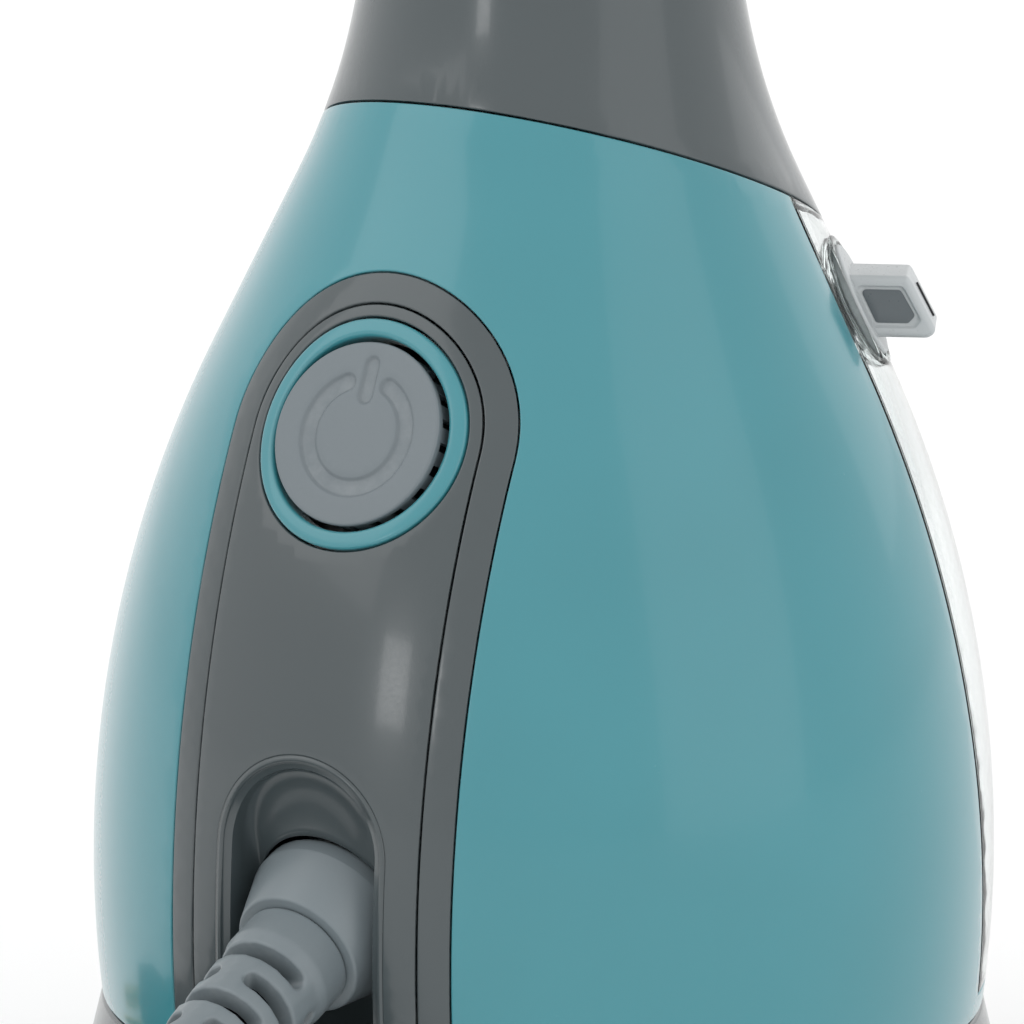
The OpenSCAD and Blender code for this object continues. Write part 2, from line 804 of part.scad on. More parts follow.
module steam_manifold() color(silicone) difference() {
    rounded_plate(70, 40, 5, 38, head_front_y - 38 - 0.1);
    rounded_plate(64, 34, 3, 41, 20);
    translate([0, 36, head_z]) rotate([-90, 0, 0]) cylinder(r = 2.4, h = 8);
}

module nozzle_gasket() color(rubber) difference() {
    rounded_plate(70, 40, 5, head_front_y - 0.1, 0.6);
    rounded_plate(64, 34, 3, head_front_y - 1, 3);
}

module nozzle_plate() color(metal) difference() {
    rounded_plate(2 * head_half_w, 2 * head_half_h, 8, head_front_y + 0.5, 2.5);
    for (ix = [-3 : 3]) for (iz = [-1 : 1])
        translate([ix * 9, head_front_y - 1, head_z + iz * 12]) rotate([-90, 0, 0])
            cylinder(r = 1.6, h = 6);
    for (p = screw_points()) translate([p[0], head_front_y - 1, p[1]]) rotate([-90, 0, 0]) {
        cylinder(r = 1.6, h = 6);
        translate([0, 0, 2.6]) cylinder(r = 3, h = 4);
    }
}

module head_screws() color(metal) for (p = screw_points())
    translate([p[0], head_front_y - 5, p[1]]) rotate([-90, 0, 0]) {
        cylinder(r = 1.5, h = 7);
        translate([0, 0, 6.7]) cylinder(r = 2.8, h = 1.2);
    }

// Push-on hood: a collar that grips the head, a drilled back and an open front rim
module wallpaper_plate() color(clear) {
    back_y = head_front_y + 3.3;
    difference() {
        union() {
            rounded_plate(plate_w, plate_h, 14, back_y, 12);
            rounded_plate(2 * head_half_w + 6, 2 * head_half_h + 6, 10, back_y - 9, 9.5);
        }
        rounded_plate(plate_w - 6, plate_h - 6, 11, back_y + 2.5, 20);
        rounded_plate(2 * head_half_w + 0.7, 2 * head_half_h + 0.7, 8.3, back_y - 12, 12);
        for (ix = [-4 : 4]) for (iz = [-2 : 2])
            translate([ix * 10, back_y - 2, head_z + iz * 11]) rotate([-90, 0, 0])
                cylinder(r = 2, h = 8);
    }
}

// ---------- mains lead ----------

module cord_run() color(black) swept_tube(smooth(cord_route, 3), cord_r, 10);

module cord_tail() color(black) swept_tube(smooth(tail_route, 3), cord_r, 10);

module cord_coil() color(black) translate([coil_centre[0], coil_centre[1], 0]) {
    inner = coil_half_w - cord_r;
    rotate_extrude() translate([coil_mean_r - inner, 0]) square([2 * inner, coil_h]);
    rotate_extrude() translate([coil_mean_r - coil_half_w, cord_r])
        square([2 * coil_half_w, coil_h - cord_d]);
    for (sr = [-1, 1]) for (z = [cord_r, coil_h - cord_r])
        translate([0, 0, z]) bend(coil_mean_r + sr * inner, cord_r, 360);
}

module plug_body() color(black) translate(plug_at) rotate([-90, 0, 0]) {
    cylinder(r1 = 4.2, r2 = 6.5, h = 20);
    translate([0, 0, 20 - eps]) rounded_block(34, 14.6, 6, 22);
}

module plug_pins() color(metal) for (side = [-1, 1])
    translate(plug_at + [9.5 * side, 42, 0]) rotate([-90, 0, 0]) {
        cylinder(r = 2.4, h = 17);
        translate([0, 0, 17 - eps]) cylinder(r1 = 2.4, r2 = 1.4, h = 2);
    }

base_skirt();
base_plate();
rubber_feet();
base_screws();
rear_shell();
tank_bulkhead();
water_tank();
filler_stopper();
stopper_seal();
tank_valve();
valve_seal();
neck_shell();
panel_bezel();
panel_inlay();
button_ring();
power_button();
button_spring();
power_switch();
cord_pocket();
cord_barrel();
barrel_retainer();
strain_relief();
cord_clamp();
terminal_block();
chassis();
chassis_screws();
boiler();
heating_element();
thermostat();
thermal_fuse();
pump();
pump_mounts();
suction_hose();
pressure_hose();
steam_pipe();
pipe_clip();
control_board();
trigger();
trigger_pin();
trigger_spring();
trigger_switch();
head_shell();
head_screws();
steam_manifold();
nozzle_gasket();
nozzle_plate();
wallpaper_plate();
cord_run();
cord_coil();
cord_tail();
plug_body();
plug_pins();
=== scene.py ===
"""Looks of the upright hand-held wallpaper steamer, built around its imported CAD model.

Lengths are in millimetres and angles in degrees, in the CAD frame: +Z up, -Y towards the power
button and the mains lead, +Y towards the water tank and the steam plate. MM turns millimetres
into Blender's metres.
"""

import math

import bmesh
import bpy
import numpy as np
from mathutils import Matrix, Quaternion, Vector
from mathutils.geometry import delaunay_2d_cdt


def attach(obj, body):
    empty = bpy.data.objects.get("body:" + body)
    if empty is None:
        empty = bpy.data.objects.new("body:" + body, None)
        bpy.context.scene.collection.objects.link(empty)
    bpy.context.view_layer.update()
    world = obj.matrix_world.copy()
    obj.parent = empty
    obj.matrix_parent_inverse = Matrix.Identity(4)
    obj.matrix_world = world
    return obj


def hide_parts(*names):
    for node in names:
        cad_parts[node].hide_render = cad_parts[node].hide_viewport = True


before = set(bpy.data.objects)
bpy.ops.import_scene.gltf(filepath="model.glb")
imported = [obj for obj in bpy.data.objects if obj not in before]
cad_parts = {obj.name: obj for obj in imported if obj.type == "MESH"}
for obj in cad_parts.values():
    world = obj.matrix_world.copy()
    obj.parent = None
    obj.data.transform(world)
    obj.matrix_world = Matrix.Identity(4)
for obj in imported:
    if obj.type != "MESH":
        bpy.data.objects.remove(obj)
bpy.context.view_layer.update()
MM = 0.001


# ---------- driving dimensions, the same as the CAD's ----------

BELLY_R, BELLY_Z, BELLY_ARC = 60.0, 50.0, 157.0
SHOULDER, SHOULDER_LEN = 26.0, 25.6
NECK_ARC = 87.0
GRIP_ARC, GRIP_LEAN, GRIP_TOP = 300.0, 6.0, 284.5
WALL = 2.5
SEAM = 0.3
SHELL_Z = 31.3
TANK_Z = 34.5
NECK_SEAM_Y, NECK_SEAM_Z, NECK_SEAM_ANGLE = -27.3, 154.2, 21.1
TANK_SEAM_Y, TANK_SEAM_Z, TANK_SEAM_ANGLE = 7.5, 131.0, 6.6
PANEL_TILT = 24.3
BEZEL_HALF, INLAY_HALF = 21.5, 17.3
RING_R, BUTTON_R = 15.2, 12.1
POCKET_HALF, POCKET_TOP, POCKET_LOW = 11.6, 73.5, 35.4
BARREL_AT = np.array([0.0, -49.6, 52.5])
CORD_DIP = 22.0
CORD_D = 7.0
COIL_AT, COIL_R = (-60.0, -148.0), 40.5
# The filler port's heading from +X, its height and its rim's hole
PORT_TURN, PORT_Z, PORT_RIM = 28.0, 125.5, 8.4
HEAD_Z, HEAD_FRONT, HEAD_HALF = 312.0, 50.0, np.array([52.0, 32.0])
PLATE_BACK, PLATE_HALF = HEAD_FRONT + 3.3, np.array([75.0, 48.0])
TRIGGER_PIN = (13.0, 254.0)


# ---------- sizes of the details ----------

# Radius of a shell's rounded edge, and how far apart its outline's points are
EDGE, STEP = 0.22, 1.2
INLAY_T, TANK_WALL = 1.25, 2.0
LIP, BARREL_HOLE = 1.2, 11.0
RING_INNER, RING_PROUD = 12.8, 0.25
# Along the button's axis, from the panel: its face, the face's back and the skirt's end
FACE_UP, FACE_T, SKIRT_LOW, TEETH = -0.4, 1.3, -4.9, 22
# The power symbol: radius, half the line and half the gap (degrees) of its circle, and its bar
SYMBOL_R, SYMBOL_HALF, SYMBOL_GAP = 7.15, 1.1, 25.5
BAR_LOW, BAR_TOP, BAR_HALF = 4.9, 9.2, 0.95
TRIGGER_HALF, TRIGGER_LOW, TRIGGER_HIGH = 7.4, 219.8, 258.0
# The relief along the lead: collar, sleeve, then the slots and the circle it is unrolled on
COLLAR_R, COLLAR_FROM, COLLAR_TO = 7.5, 10.1, 16.1
SLEEVE_R, SLEEVE_TIP_R, SLEEVE_END = 7.2, 5.6, 55.0
SLEEVE_TAPER, SLEEVE_FACETS, SLEEVE_EDGE = 39, 18, 0.42
SLOT_FROM, SLOT_LONG, SLOT_PITCH, SLOT_ROWS = 17.2, 2.5, 4.8, 8
SLOT_HALF_TURN = 73.0
UNROLL = 7.0
# The stored coil: turns of each layer and of the rise between them, and where it starts
COIL_TURNS, RISE_TURNS, COIL_START_ANGLE = 3.5, 0.5, -19.9
# The stopper's pull tab: half its width and height, and how far it stands out
TAB_HALF, TAB_HIGH, TAB_OUT = 4.7, 4.1, 9.4
RIBS_FROM, RIBS_TO, RIBS_PITCH, PIN_APART = 29, 38, 2.25, 19
# The steam head: radius of its round back, and of its front's corners
HEAD_BACK, HEAD_CORNER = 27, 8
HOLE_R, HOLES_ACROSS, HOLES_UP = 2.0, 10, 11


# ---------- small mathematics ----------


def cosd(angle):
    return np.cos(np.radians(angle))


def sind(angle):
    return np.sin(np.radians(angle))


def tand(angle):
    return math.tan(math.radians(angle))


def beside(*columns):
    """Rows of points from columns side by side: whole tables, single columns and numbers."""
    parts = [part for column in columns for part in np.atleast_2d(np.transpose(column))]
    return np.stack(np.broadcast_arrays(*parts), 1)


def last_that(holds, low, high):
    """The last number between low and high that holds, where all the lower ones do."""
    for _ in range(50):
        middle = (low + high) / 2
        low, high = (middle, high) if holds(middle) else (low, middle)
    return low


def mirrored(points):
    """Flat points on the other side of the middle line, in reverse order."""
    return points[::-1] * [-1, 1]


def arc(centre, radius, start, end, count):
    """Points along an arc, ends included, as rows of two numbers."""
    angles = np.linspace(start, end, count)
    return beside(centre[0] + radius * cosd(angles), centre[1] + radius * sind(angles))


def line(a, b, step):
    """Points from a to b, about step apart, ends included."""
    a, b = np.asarray(a, float), np.asarray(b, float)
    count = max(2, int(np.ceil(np.linalg.norm(b - a) / step)) + 1)
    return a + (b - a) * np.linspace(0, 1, count)[:, None]


def chain(*stretches):
    """Stretches of points in one row, without the doubled points where they meet."""
    rows = [stretches[0]]
    for stretch in stretches[1:]:
        doubled = np.linalg.norm(rows[-1][-1] - stretch[0]) < 1e-6
        rows.append(stretch[1:] if doubled else stretch)
    points = np.concatenate(rows)
    return points[:-1] if np.linalg.norm(points[-1] - points[0]) < 1e-6 else points


# The side profile's tangent arcs, as in the CAD
SHOULDER_OUT = np.array([cosd(SHOULDER), sind(SHOULDER)])
BELLY_C = np.array([BELLY_R - BELLY_ARC, BELLY_Z])
SHOULDER_FOOT = BELLY_C + BELLY_ARC * SHOULDER_OUT
SHOULDER_HEAD = SHOULDER_FOOT + SHOULDER_LEN * np.array([-SHOULDER_OUT[1], SHOULDER_OUT[0]])
NECK_C = SHOULDER_HEAD + NECK_ARC * SHOULDER_OUT
NECK_R, NECK_Z = NECK_C[0] - NECK_ARC, NECK_C[1]
GRIP_OUT = np.array([cosd(GRIP_LEAN), sind(GRIP_LEAN)])
GRIP_LOW_C = np.array([NECK_R - GRIP_ARC, NECK_Z])
GRIP_WAIST = GRIP_LOW_C + GRIP_ARC * GRIP_OUT
GRIP_HIGH_C = GRIP_WAIST + GRIP_ARC * GRIP_OUT


def profile(z):
    """Radius of the body at height z, and the angle of its wall's normal above the horizontal."""
    z = np.asarray(z, float)

    def angle(centre, radius, sign):
        return sign * np.degrees(np.arcsin(np.clip((z - centre[1]) / radius, -1, 1)))

    belly = angle(BELLY_C, BELLY_ARC, 1)
    neck = angle(NECK_C, NECK_ARC, -1)
    low = angle(GRIP_LOW_C, GRIP_ARC, 1)
    high = angle(GRIP_HIGH_C, GRIP_ARC, -1)
    pieces = [z <= SHOULDER_FOOT[1], z <= SHOULDER_HEAD[1], z <= NECK_Z, z <= GRIP_WAIST[1]]
    straight = SHOULDER_FOOT[0] - (z - SHOULDER_FOOT[1]) * np.tan(np.radians(SHOULDER))
    radius = np.select(pieces, [
        BELLY_C[0] + BELLY_ARC * cosd(belly),
        straight,
        NECK_C[0] - NECK_ARC * cosd(neck),
        GRIP_LOW_C[0] + GRIP_ARC * cosd(low)], GRIP_HIGH_C[0] - GRIP_ARC * cosd(high))
    return radius, np.select(pieces, [belly, np.full_like(z, SHOULDER), neck, low], high)


def on_body(flat, depth):
    """The point of the body's wall at flat = (girth from the panel's middle line, height), at a
    depth under the surface. Girth is measured as on the widest circle."""
    radius, lean = profile(flat[:, 1])
    turn = flat[:, 0] / BELLY_R
    radius = radius - depth * cosd(lean)
    return beside(radius * np.sin(turn), -radius * np.cos(turn),
                     flat[:, 1] - depth * sind(lean))


def body_scale(flat):
    """How long one unit of girth and one of height are on the wall itself."""
    radius, lean = profile(flat[:, 1])
    return beside(radius / BELLY_R, 1 / cosd(lean))


def flat_of(points):
    """Girth and height of points on the wall."""
    return beside(BELLY_R * np.arctan2(points[:, 0], -points[:, 1]), points[:, 2])


def frame_axes(origin, x, y):
    """A local frame as (origin, rows of its three axes)."""
    x, y = np.asarray(x, float), np.asarray(y, float)
    return np.asarray(origin, float), np.stack([x, y, np.cross(x, y)])


def placed(local, points):
    """Points given in a local frame, in the object's frame."""
    return local[0] + np.asarray(points, float) @ local[1]


# Frame on the panel under the button: X across, Y up the slope, Z outwards
PANEL = frame_axes(
    [0, -(BELLY_C[0] + BELLY_ARC * cosd(PANEL_TILT)), BELLY_Z + BELLY_ARC * sind(PANEL_TILT)],
    [1, 0, 0], [0, sind(PANEL_TILT), cosd(PANEL_TILT)])
# Frame along the lead where it leaves: Z outwards along the lead
LEAD = frame_axes(BARREL_AT, [1, 0, 0], [0, -sind(CORD_DIP), cosd(CORD_DIP)])


# Radius of the wall at the filler port, which is on its straight shoulder
PORT_WALL = SHOULDER_FOOT[0] - (PORT_Z - SHOULDER_FOOT[1]) * tand(SHOULDER)


def port_frame():
    """The filler port's frame: Z outwards, Y level along the wall."""
    across = np.array([-sind(PORT_TURN), cosd(PORT_TURN), 0.0])
    level = np.array([cosd(PORT_TURN), sind(PORT_TURN), 0.0])
    out = cosd(SHOULDER) * level + [0, 0, sind(SHOULDER)]
    return frame_axes(PORT_WALL * level + [0, 0, PORT_Z], np.cross(across, out), across)


PORT = port_frame()


def height_on_panel(xy):
    """How far the body's wall stands in front of the panel's own plane at points of that plane,
    found by halving the reach from deep inside the body to well outside."""
    low, high = np.full(len(xy), -75.0), np.full(len(xy), 12.0)
    for _ in range(48):
        middle = (low + high) / 2
        p = placed(PANEL, beside(xy, middle))
        outside = np.hypot(p[:, 0], p[:, 1]) > profile(p[:, 2])[0]
        low, high = np.where(outside, low, middle), np.where(outside, middle, high)
    return (low + high) / 2


def panel_curve(xy):
    """Points of the panel's plane, carried straight onto the body's wall."""
    return flat_of(placed(PANEL, beside(xy, height_on_panel(xy))))


# ---------- meshes ----------


def new_object(name, data):
    """A new object, in the scene."""
    made = bpy.data.objects.new(name, data)
    bpy.context.scene.collection.objects.link(made)
    return made


def soften(mesh, flat_over):
    """Smooth shading, with sharp edges where faces meet at more than that many degrees."""
    mesh.polygons.foreach_set("use_smooth", [True] * len(mesh.polygons))
    mesh.set_sharp_from_angle(angle=math.radians(flat_over))


def add_piece(name, points, faces, material, body="root", slot=None, nodes=(), flat_over=35,
              edge=None):
    """A Blender piece from points in millimetres, riding on a CAD body in place of CAD nodes.
    Its slot argument is not used. edge marks, for the material,
    how near each point is to a moulded edge."""
    mesh = bpy.data.meshes.new(name)
    mesh.from_pydata((np.asarray(points, float) * MM).tolist(), [], [list(f) for f in faces])
    shape = bmesh.new()
    shape.from_mesh(mesh)
    # The edge values feed the material's painted edge highlight
    if edge is not None:
        layer = shape.verts.layers.float.new("edge")
        for vertex, value in zip(shape.verts, edge):
            vertex[layer] = value
    bmesh.ops.remove_doubles(shape, verts=shape.verts, dist=1e-7)
    bmesh.ops.recalc_face_normals(shape, faces=shape.faces)
    shape.to_mesh(mesh)
    shape.free()
    soften(mesh, flat_over)
    mesh.materials.append(material)
    return dress(new_object(name, mesh), body, nodes)


def dress(piece, body, nodes):
    """Rides the piece on its body, in place of the CAD nodes that it stands for."""
    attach(piece, body)
    if nodes:
        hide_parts(*nodes)
    return piece


def finish_node(node, material):
    """A CAD node that shows as it is, with a moulded look."""
    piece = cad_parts[node]
    piece.data.materials.clear()
    piece.data.materials.append(material)


def side_normals(loop, live, scale):
    """Unit steps to the left of a closed loop's points, in the flat's own units. Only live edges
    count; a point with none has no step."""
    edges = (np.roll(loop, -1, 0) - loop) * scale
    left = beside(-edges[:, 1], edges[:, 0])
    left /= np.maximum(np.linalg.norm(left, axis=1), 1e-9)[:, None]
    left[~live] = 0
    before = np.roll(left, 1, 0)
    total = left + before
    both = live & np.roll(live, 1)
    length2 = np.where(both, np.maximum((total ** 2).sum(1) / 2, 0.35), 1)
    return total / length2[:, None] / scale


def inside(points, loop):
    """Which points lie inside a closed loop, by counting crossings."""
    found = np.zeros(len(points), bool)
    a, b = loop, np.roll(loop, -1, 0)
    for start in range(0, len(points), 4000):
        x, y = points[start:start + 4000, 0:1], points[start:start + 4000, 1:2]
        spans = (a[:, 1] > y) != (b[:, 1] > y)
        slope = (b[:, 0] - a[:, 0]) / np.where(a[:, 1] == b[:, 1], 1e-12, b[:, 1] - a[:, 1])
        crossed = spans & (x < a[:, 0] + (y - a[:, 1]) * slope)
        found[start:start + 4000] = crossed.sum(1) % 2 == 1
    return found


def between(points, outline, holes):
    """Which points lie inside an outline and outside all of its holes."""
    kept = inside(points, outline)
    for hole in holes:
        kept &= ~inside(points, hole)
    return kept


def rounding(radius, steps=4):
    """Rings of a rounded edge: how far in from the outline, and how deep."""
    turns = np.radians(np.linspace(0, 90, steps + 1))
    return [(radius * (1 - math.cos(t)), radius * (1 - math.sin(t))) for t in turns]


def net(low, high, spacing, scale_of):
    """Points in staggered rows over a flat region, about spacing apart on the surface."""
    rows = np.linspace(low[1], high[1], max(2, int((high[1] - low[1]) / spacing)))
    points = []
    for number, height in enumerate(rows):
        step = spacing / max(scale_of(np.array([[0.0, height]]))[0, 0], 0.05)
        across = np.arange(low[0], high[0], step) + 0.5 * step * (number % 2)
        points.append(beside(across, height))
    return np.concatenate(points)


def apart(points, others, distance, scale_of):
    """Which points are at least that far from all of the others, on the surface."""
    scale = scale_of(points)
    clear = np.ones(len(points), bool)
    for start in range(0, len(points), 1000):
        rows = slice(start, start + 1000)
        gaps = (points[rows, None, :] - others[None, :, :]) * scale[rows, None, :]
        clear[rows] = ((gaps ** 2).sum(2) > distance ** 2).all(1)
    return clear


def plain_scale(flat):
    return np.ones_like(flat)


def joined(*stretches):
    """A closed loop of (points, live) stretches, and which of its edges are live. Those from
    one stretch to the next are not."""
    live = [flag for points, flags in stretches for flag in [flags] * (len(points) - 1) + [False]]
    return np.concatenate([points for points, flags in stretches]), np.array(live)


def patch(loops, rings, spacing, scale_of=plain_scale, features=()):
    """Triangles over a flat region. loops holds the outside, anticlockwise, then holes,
    clockwise, each as points or as (points, live), where an edge that isn't live only joins the
    region to its own other side. rings gives the shape along the live edges as (distance in,
    depth). A feature is (rows of (closed outline, depth), depth inside). Returns the flat
    points, their depths and the triangles."""
    points, depth, ties, outlines, near = [], [], [], [], []

    def add_ring(ring, at, joined, kept):
        index = np.full(len(ring), -1)
        index[kept] = len(points) + np.arange(len(kept))
        points.extend(ring[kept])
        depth.extend(at[kept])
        for i in joined:
            pair = int(index[i]), int(index[(i + 1) % len(ring)])
            if min(pair) >= 0:
                ties.append(pair)

    for item in loops:
        loop, live = item if isinstance(item, tuple) else (item, np.ones(len(item), bool))
        step = side_normals(loop, live, scale_of(loop))
        moves = np.linalg.norm(step, axis=1) > 1e-9
        outlines.append(loop)
        for k, (reach, deep) in enumerate(rings):
            kept = np.flatnonzero(moves) if k else np.arange(len(loop))
            at = np.where(moves, deep, rings[-1][1])
            add_ring(loop + step * reach, at, np.flatnonzero(live | (k == 0)), kept)
        near += [loop, loop + step * rings[-1][0]]
    grid = net(outlines[0].min(0), outlines[0].max(0), spacing, scale_of)
    grid = grid[between(grid, outlines[0], outlines[1:])]
    grid_depth = np.full(len(grid), float(rings[-1][1]))
    for rows, inner_depth in features:
        for outline, deep in rows:
            every = np.arange(len(outline))
            add_ring(outline, np.full(len(outline), float(deep)), every, every)
        grid_depth[inside(grid, rows[-1][0])] = inner_depth
        sloping = between(grid, rows[0][0], [rows[-1][0]])
        grid, grid_depth = grid[~sloping], grid_depth[~sloping]
        near += [rows[0][0], rows[-1][0]]
    clear = apart(grid, np.concatenate(near), 0.55 * spacing, scale_of)
    grid, grid_depth = grid[clear], grid_depth[clear]
    depth = np.concatenate([np.array(depth, float), grid_depth])
    every = np.concatenate([np.array(points, float).reshape(-1, 2), grid])
    found = delaunay_2d_cdt([Vector(p) for p in every], ties, [], 0, 1e-7, True)
    flat = np.array([tuple(v) for v in found[0]], float)
    source = np.array([ids[0] if ids else -1 for ids in found[3]])
    depth = np.where(source >= 0, depth[source], rings[-1][1])
    triangles = np.array([tuple(t) for t in found[2]], int)
    middle = flat[triangles].mean(1)
    return flat, depth, triangles[between(middle, outlines[0], outlines[1:])]


def closed_shell(name, outer, inner, triangles, edge_highlight_weight, material, **dressing):
    """A closed solid between two skins with the same triangles, walled along the open edges."""
    key, merged = {}, np.arange(len(outer))
    for i, p in enumerate(map(tuple, np.round(outer, 4))):
        merged[i] = key.setdefault(p, i)
    triangles = merged[triangles]
    a, b, c = triangles.T
    triangles = triangles[(a != b) & (b != c) & (c != a)]
    edges = {}
    for a, b, c in triangles.tolist():
        for pair in ((a, b), (b, c), (c, a)):
            if edges.pop(pair[::-1], None) is None:
                edges[pair] = True
    count = len(outer)
    faces = triangles.tolist() + (triangles[:, ::-1] + count).tolist()
    faces += [[b, a, a + count, b + count] for a, b in edges]
    # The outer skin carries how near each point is to a moulded edge, where the material paints a
    # paler edge highlight; the inner skin carries none
    return add_piece(name, np.concatenate([outer, inner]), faces, material,
                     edge=np.concatenate([edge_highlight_weight, np.zeros(count)]), **dressing)


def wall_piece(name, loops, spacing, thickness, material, **dressing):
    """A moulding that follows the body's wall."""
    flat, depth, triangles = patch(loops, rounding(EDGE), spacing, body_scale)
    outer = on_body(flat, depth)
    inner = on_body(flat, np.full(len(flat), float(thickness)))
    closed_shell(name, outer, inner, triangles, depth / EDGE, material, **dressing)


def loft_faces(rows, count, closed=True):
    """Quads between rows of points that are closed rings, the last row back to the first."""
    faces = []
    for row in range(rows if closed else rows - 1):
        below = (row + 1) % rows
        for i in range(count):
            j = (i + 1) % count
            faces.append([row * count + i, row * count + j, below * count + j,
                          below * count + i])
    return faces


def turned(name, section, material, local=None, sides=128, **dressing):
    """A solid turned from a closed section of (radius, height) points about a local Z."""
    section = np.asarray(section, float)
    angles = np.linspace(0, 2 * np.pi, sides, endpoint=False)
    rings = np.stack([np.outer(section[:, 0], np.cos(angles)),
                      np.outer(section[:, 0], np.sin(angles)),
                      np.repeat(section[:, 1:2], sides, 1)], 2)
    points = rings.reshape(-1, 3)
    if local is not None:
        points = placed(local, points)
    return add_piece(name, points, loft_faces(len(section), sides), material, **dressing)


def rounded_section(corners, radii, steps=5):
    """A closed outline through corners, each rounded with its own radius."""
    corners = [np.asarray(c, float) for c in corners]
    points = []
    for i, corner in enumerate(corners):
        before, after = corners[i - 1], corners[(i + 1) % len(corners)]
        a, b = before - corner, after - corner
        reach_a, reach_b = np.linalg.norm(a), np.linalg.norm(b)
        a, b = a / reach_a, b / reach_b
        half = math.acos(max(-1, min(1, float(a @ b)))) / 2
        radius = radii[i] if hasattr(radii, "__len__") else radii
        cut = radius / math.tan(half) if radius > 0 and half < 1.55 else 0
        cut = min(cut, 0.49 * reach_a, 0.49 * reach_b)
        if cut < 1e-4:
            points.append(corner)
            continue
        radius = cut * math.tan(half)
        middle = corner + (a + b) / np.linalg.norm(a + b) * radius / math.sin(half)
        first, last = corner + a * cut - middle, corner + b * cut - middle
        for k in range(steps + 1):
            mix = k / steps
            spread = math.acos(max(-1, min(1, float(first @ last) / radius ** 2)))
            if spread < 1e-6:
                points.append(corner + a * cut)
                break
            points.append(middle + (first * math.sin((1 - mix) * spread)
                                    + last * math.sin(mix * spread)) / math.sin(spread))
    return np.array(points)


# ---------- materials ----------


class Look:
    """A material in the making: its node tree and its Principled shader."""

    def __init__(self, name):
        self.material = bpy.data.materials.new(name)
        self.material.use_nodes = True
        self.tree = self.material.node_tree
        self.shader = self.tree.nodes["Principled BSDF"]

    def feed(self, node, **inputs):
        """Gives a node's inputs, named with underscores for spaces, values or outputs."""
        for name, value in inputs.items():
            self.fill(node.inputs[name.replace("_", " ")], value)

    def fill(self, socket, value):
        if isinstance(value, bpy.types.NodeSocket):
            self.tree.links.new(value, socket)
        else:
            socket.default_value = value

    def node(self, kind, **inputs):
        """A new node with those inputs."""
        made = self.tree.nodes.new("ShaderNode" + kind)
        self.feed(made, **inputs)
        return made

    def noise(self, scale, detail=2.0, roughness=0.5, stretch=(1, 1, 1)):
        """Noise in object space, in features per metre, stretched along the axes."""
        place = self.node("TexCoord").outputs["Object"]
        place = self.node("Mapping", Scale=stretch, Vector=place).outputs["Vector"]
        return self.node("TexNoise", Scale=scale, Detail=detail, Roughness=roughness,
                         Vector=place).outputs["Fac"]

    def spread(self, value, low, high, start=0.3, end=0.7):
        """value between start and end, spread from low to high."""
        return self.node("MapRange", From_Min=start, From_Max=end, To_Min=low, To_Max=high,
                         Value=value).outputs["Result"]

    def mix(self, factor, a, b):
        """The colour a where the factor is 0 and b where it is 1."""
        made = self.node("Mix")
        made.data_type = "RGBA"
        for name, kind, value in (("Factor", "VALUE", factor), ("A", "RGBA", a), ("B", "RGBA", b)):
            value = (*value, 1) if isinstance(value, tuple) else value
            self.fill([s for s in made.inputs if s.name == name and s.type == kind][0], value)
        return [s for s in made.outputs if s.type == "RGBA"][0]

    def calculate(self, operation, a, b, clamp=False):
        made = self.node("Math")
        made.operation = operation
        made.use_clamp = clamp
        self.fill(made.inputs[0], a)
        self.fill(made.inputs[1], b)
        return made.outputs[0]

    def bump(self, height, strength, distance):
        """Relief of the surface, up to distance metres deep."""
        made = self.node("Bump", Strength=strength, Distance=distance, Height=height)
        self.feed(self.shader, Normal=made.outputs["Normal"])


def moulded(name, colour, roughness, grain=0.05, grain_scale=2200, drift=0.06, coat=0.0,
            sheen=0.0):
    """Injection-moulded plastic: colour that drifts a little over the moulding, fine grain in
    the gloss and the surface, faint handling marks, and a painted edge highlight: moulded edges
    painted slightly paler in noisy patches."""
    look = Look(name)
    darker = tuple(c * (1 - drift) for c in colour)
    paler = tuple(min(1, c * (1 + drift) + 0.002) for c in colour)
    base = look.mix(look.spread(look.noise(14, 3, 0.55), 0, 1), darker, paler)
    # Painted edge highlight: near moulded edges the colour is mixed towards a paler copy, in noisy
    # patches
    edge = look.node("Attribute")
    edge.attribute_name = "edge"
    edge_highlight_patches = look.spread(look.noise(260, 4, 0.7), 0, 0.35, 0.4, 0.75)
    painted_edge_highlight = look.calculate("MULTIPLY", edge.outputs["Fac"], edge_highlight_patches, clamp=True)
    pale = tuple(c + (1 - c) * 0.28 for c in colour)
    fine = look.noise(grain_scale, 2, 0.6)
    marks = look.spread(look.noise(90, 6, 0.75, (1, 1, 0.6)), 0, 0.035, 0.5, 0.8)
    gloss = look.spread(fine, roughness - 0.035, roughness + 0.035)
    look.bump(fine, grain, 0.0001)
    look.feed(look.shader, Base_Color=look.mix(painted_edge_highlight, base, pale),
              Roughness=look.calculate("ADD", gloss, marks), IOR=1.5, Coat_Weight=coat,
              Coat_Roughness=0.08, Sheen_Weight=sheen, Sheen_Roughness=0.35)
    return look.material


def clear_plastic(name, tint, roughness):
    """Clear moulding with a faint tint, a slightly wavy surface and fine wipe marks."""
    look = Look(name)
    drift = look.spread(look.noise(30, 2), 0, 1)
    marks = look.spread(look.noise(120, 6, 0.8, (1, 1, 0.2)), roughness, roughness + 0.06,
                        0.45, 0.8)
    look.bump(look.noise(60, 2), 0.05, 0.0002)
    look.feed(look.shader, Base_Color=look.mix(drift, tint, tuple(0.97 * c for c in tint)),
              Roughness=marks, Transmission_Weight=1.0, IOR=1.3)
    return look.material


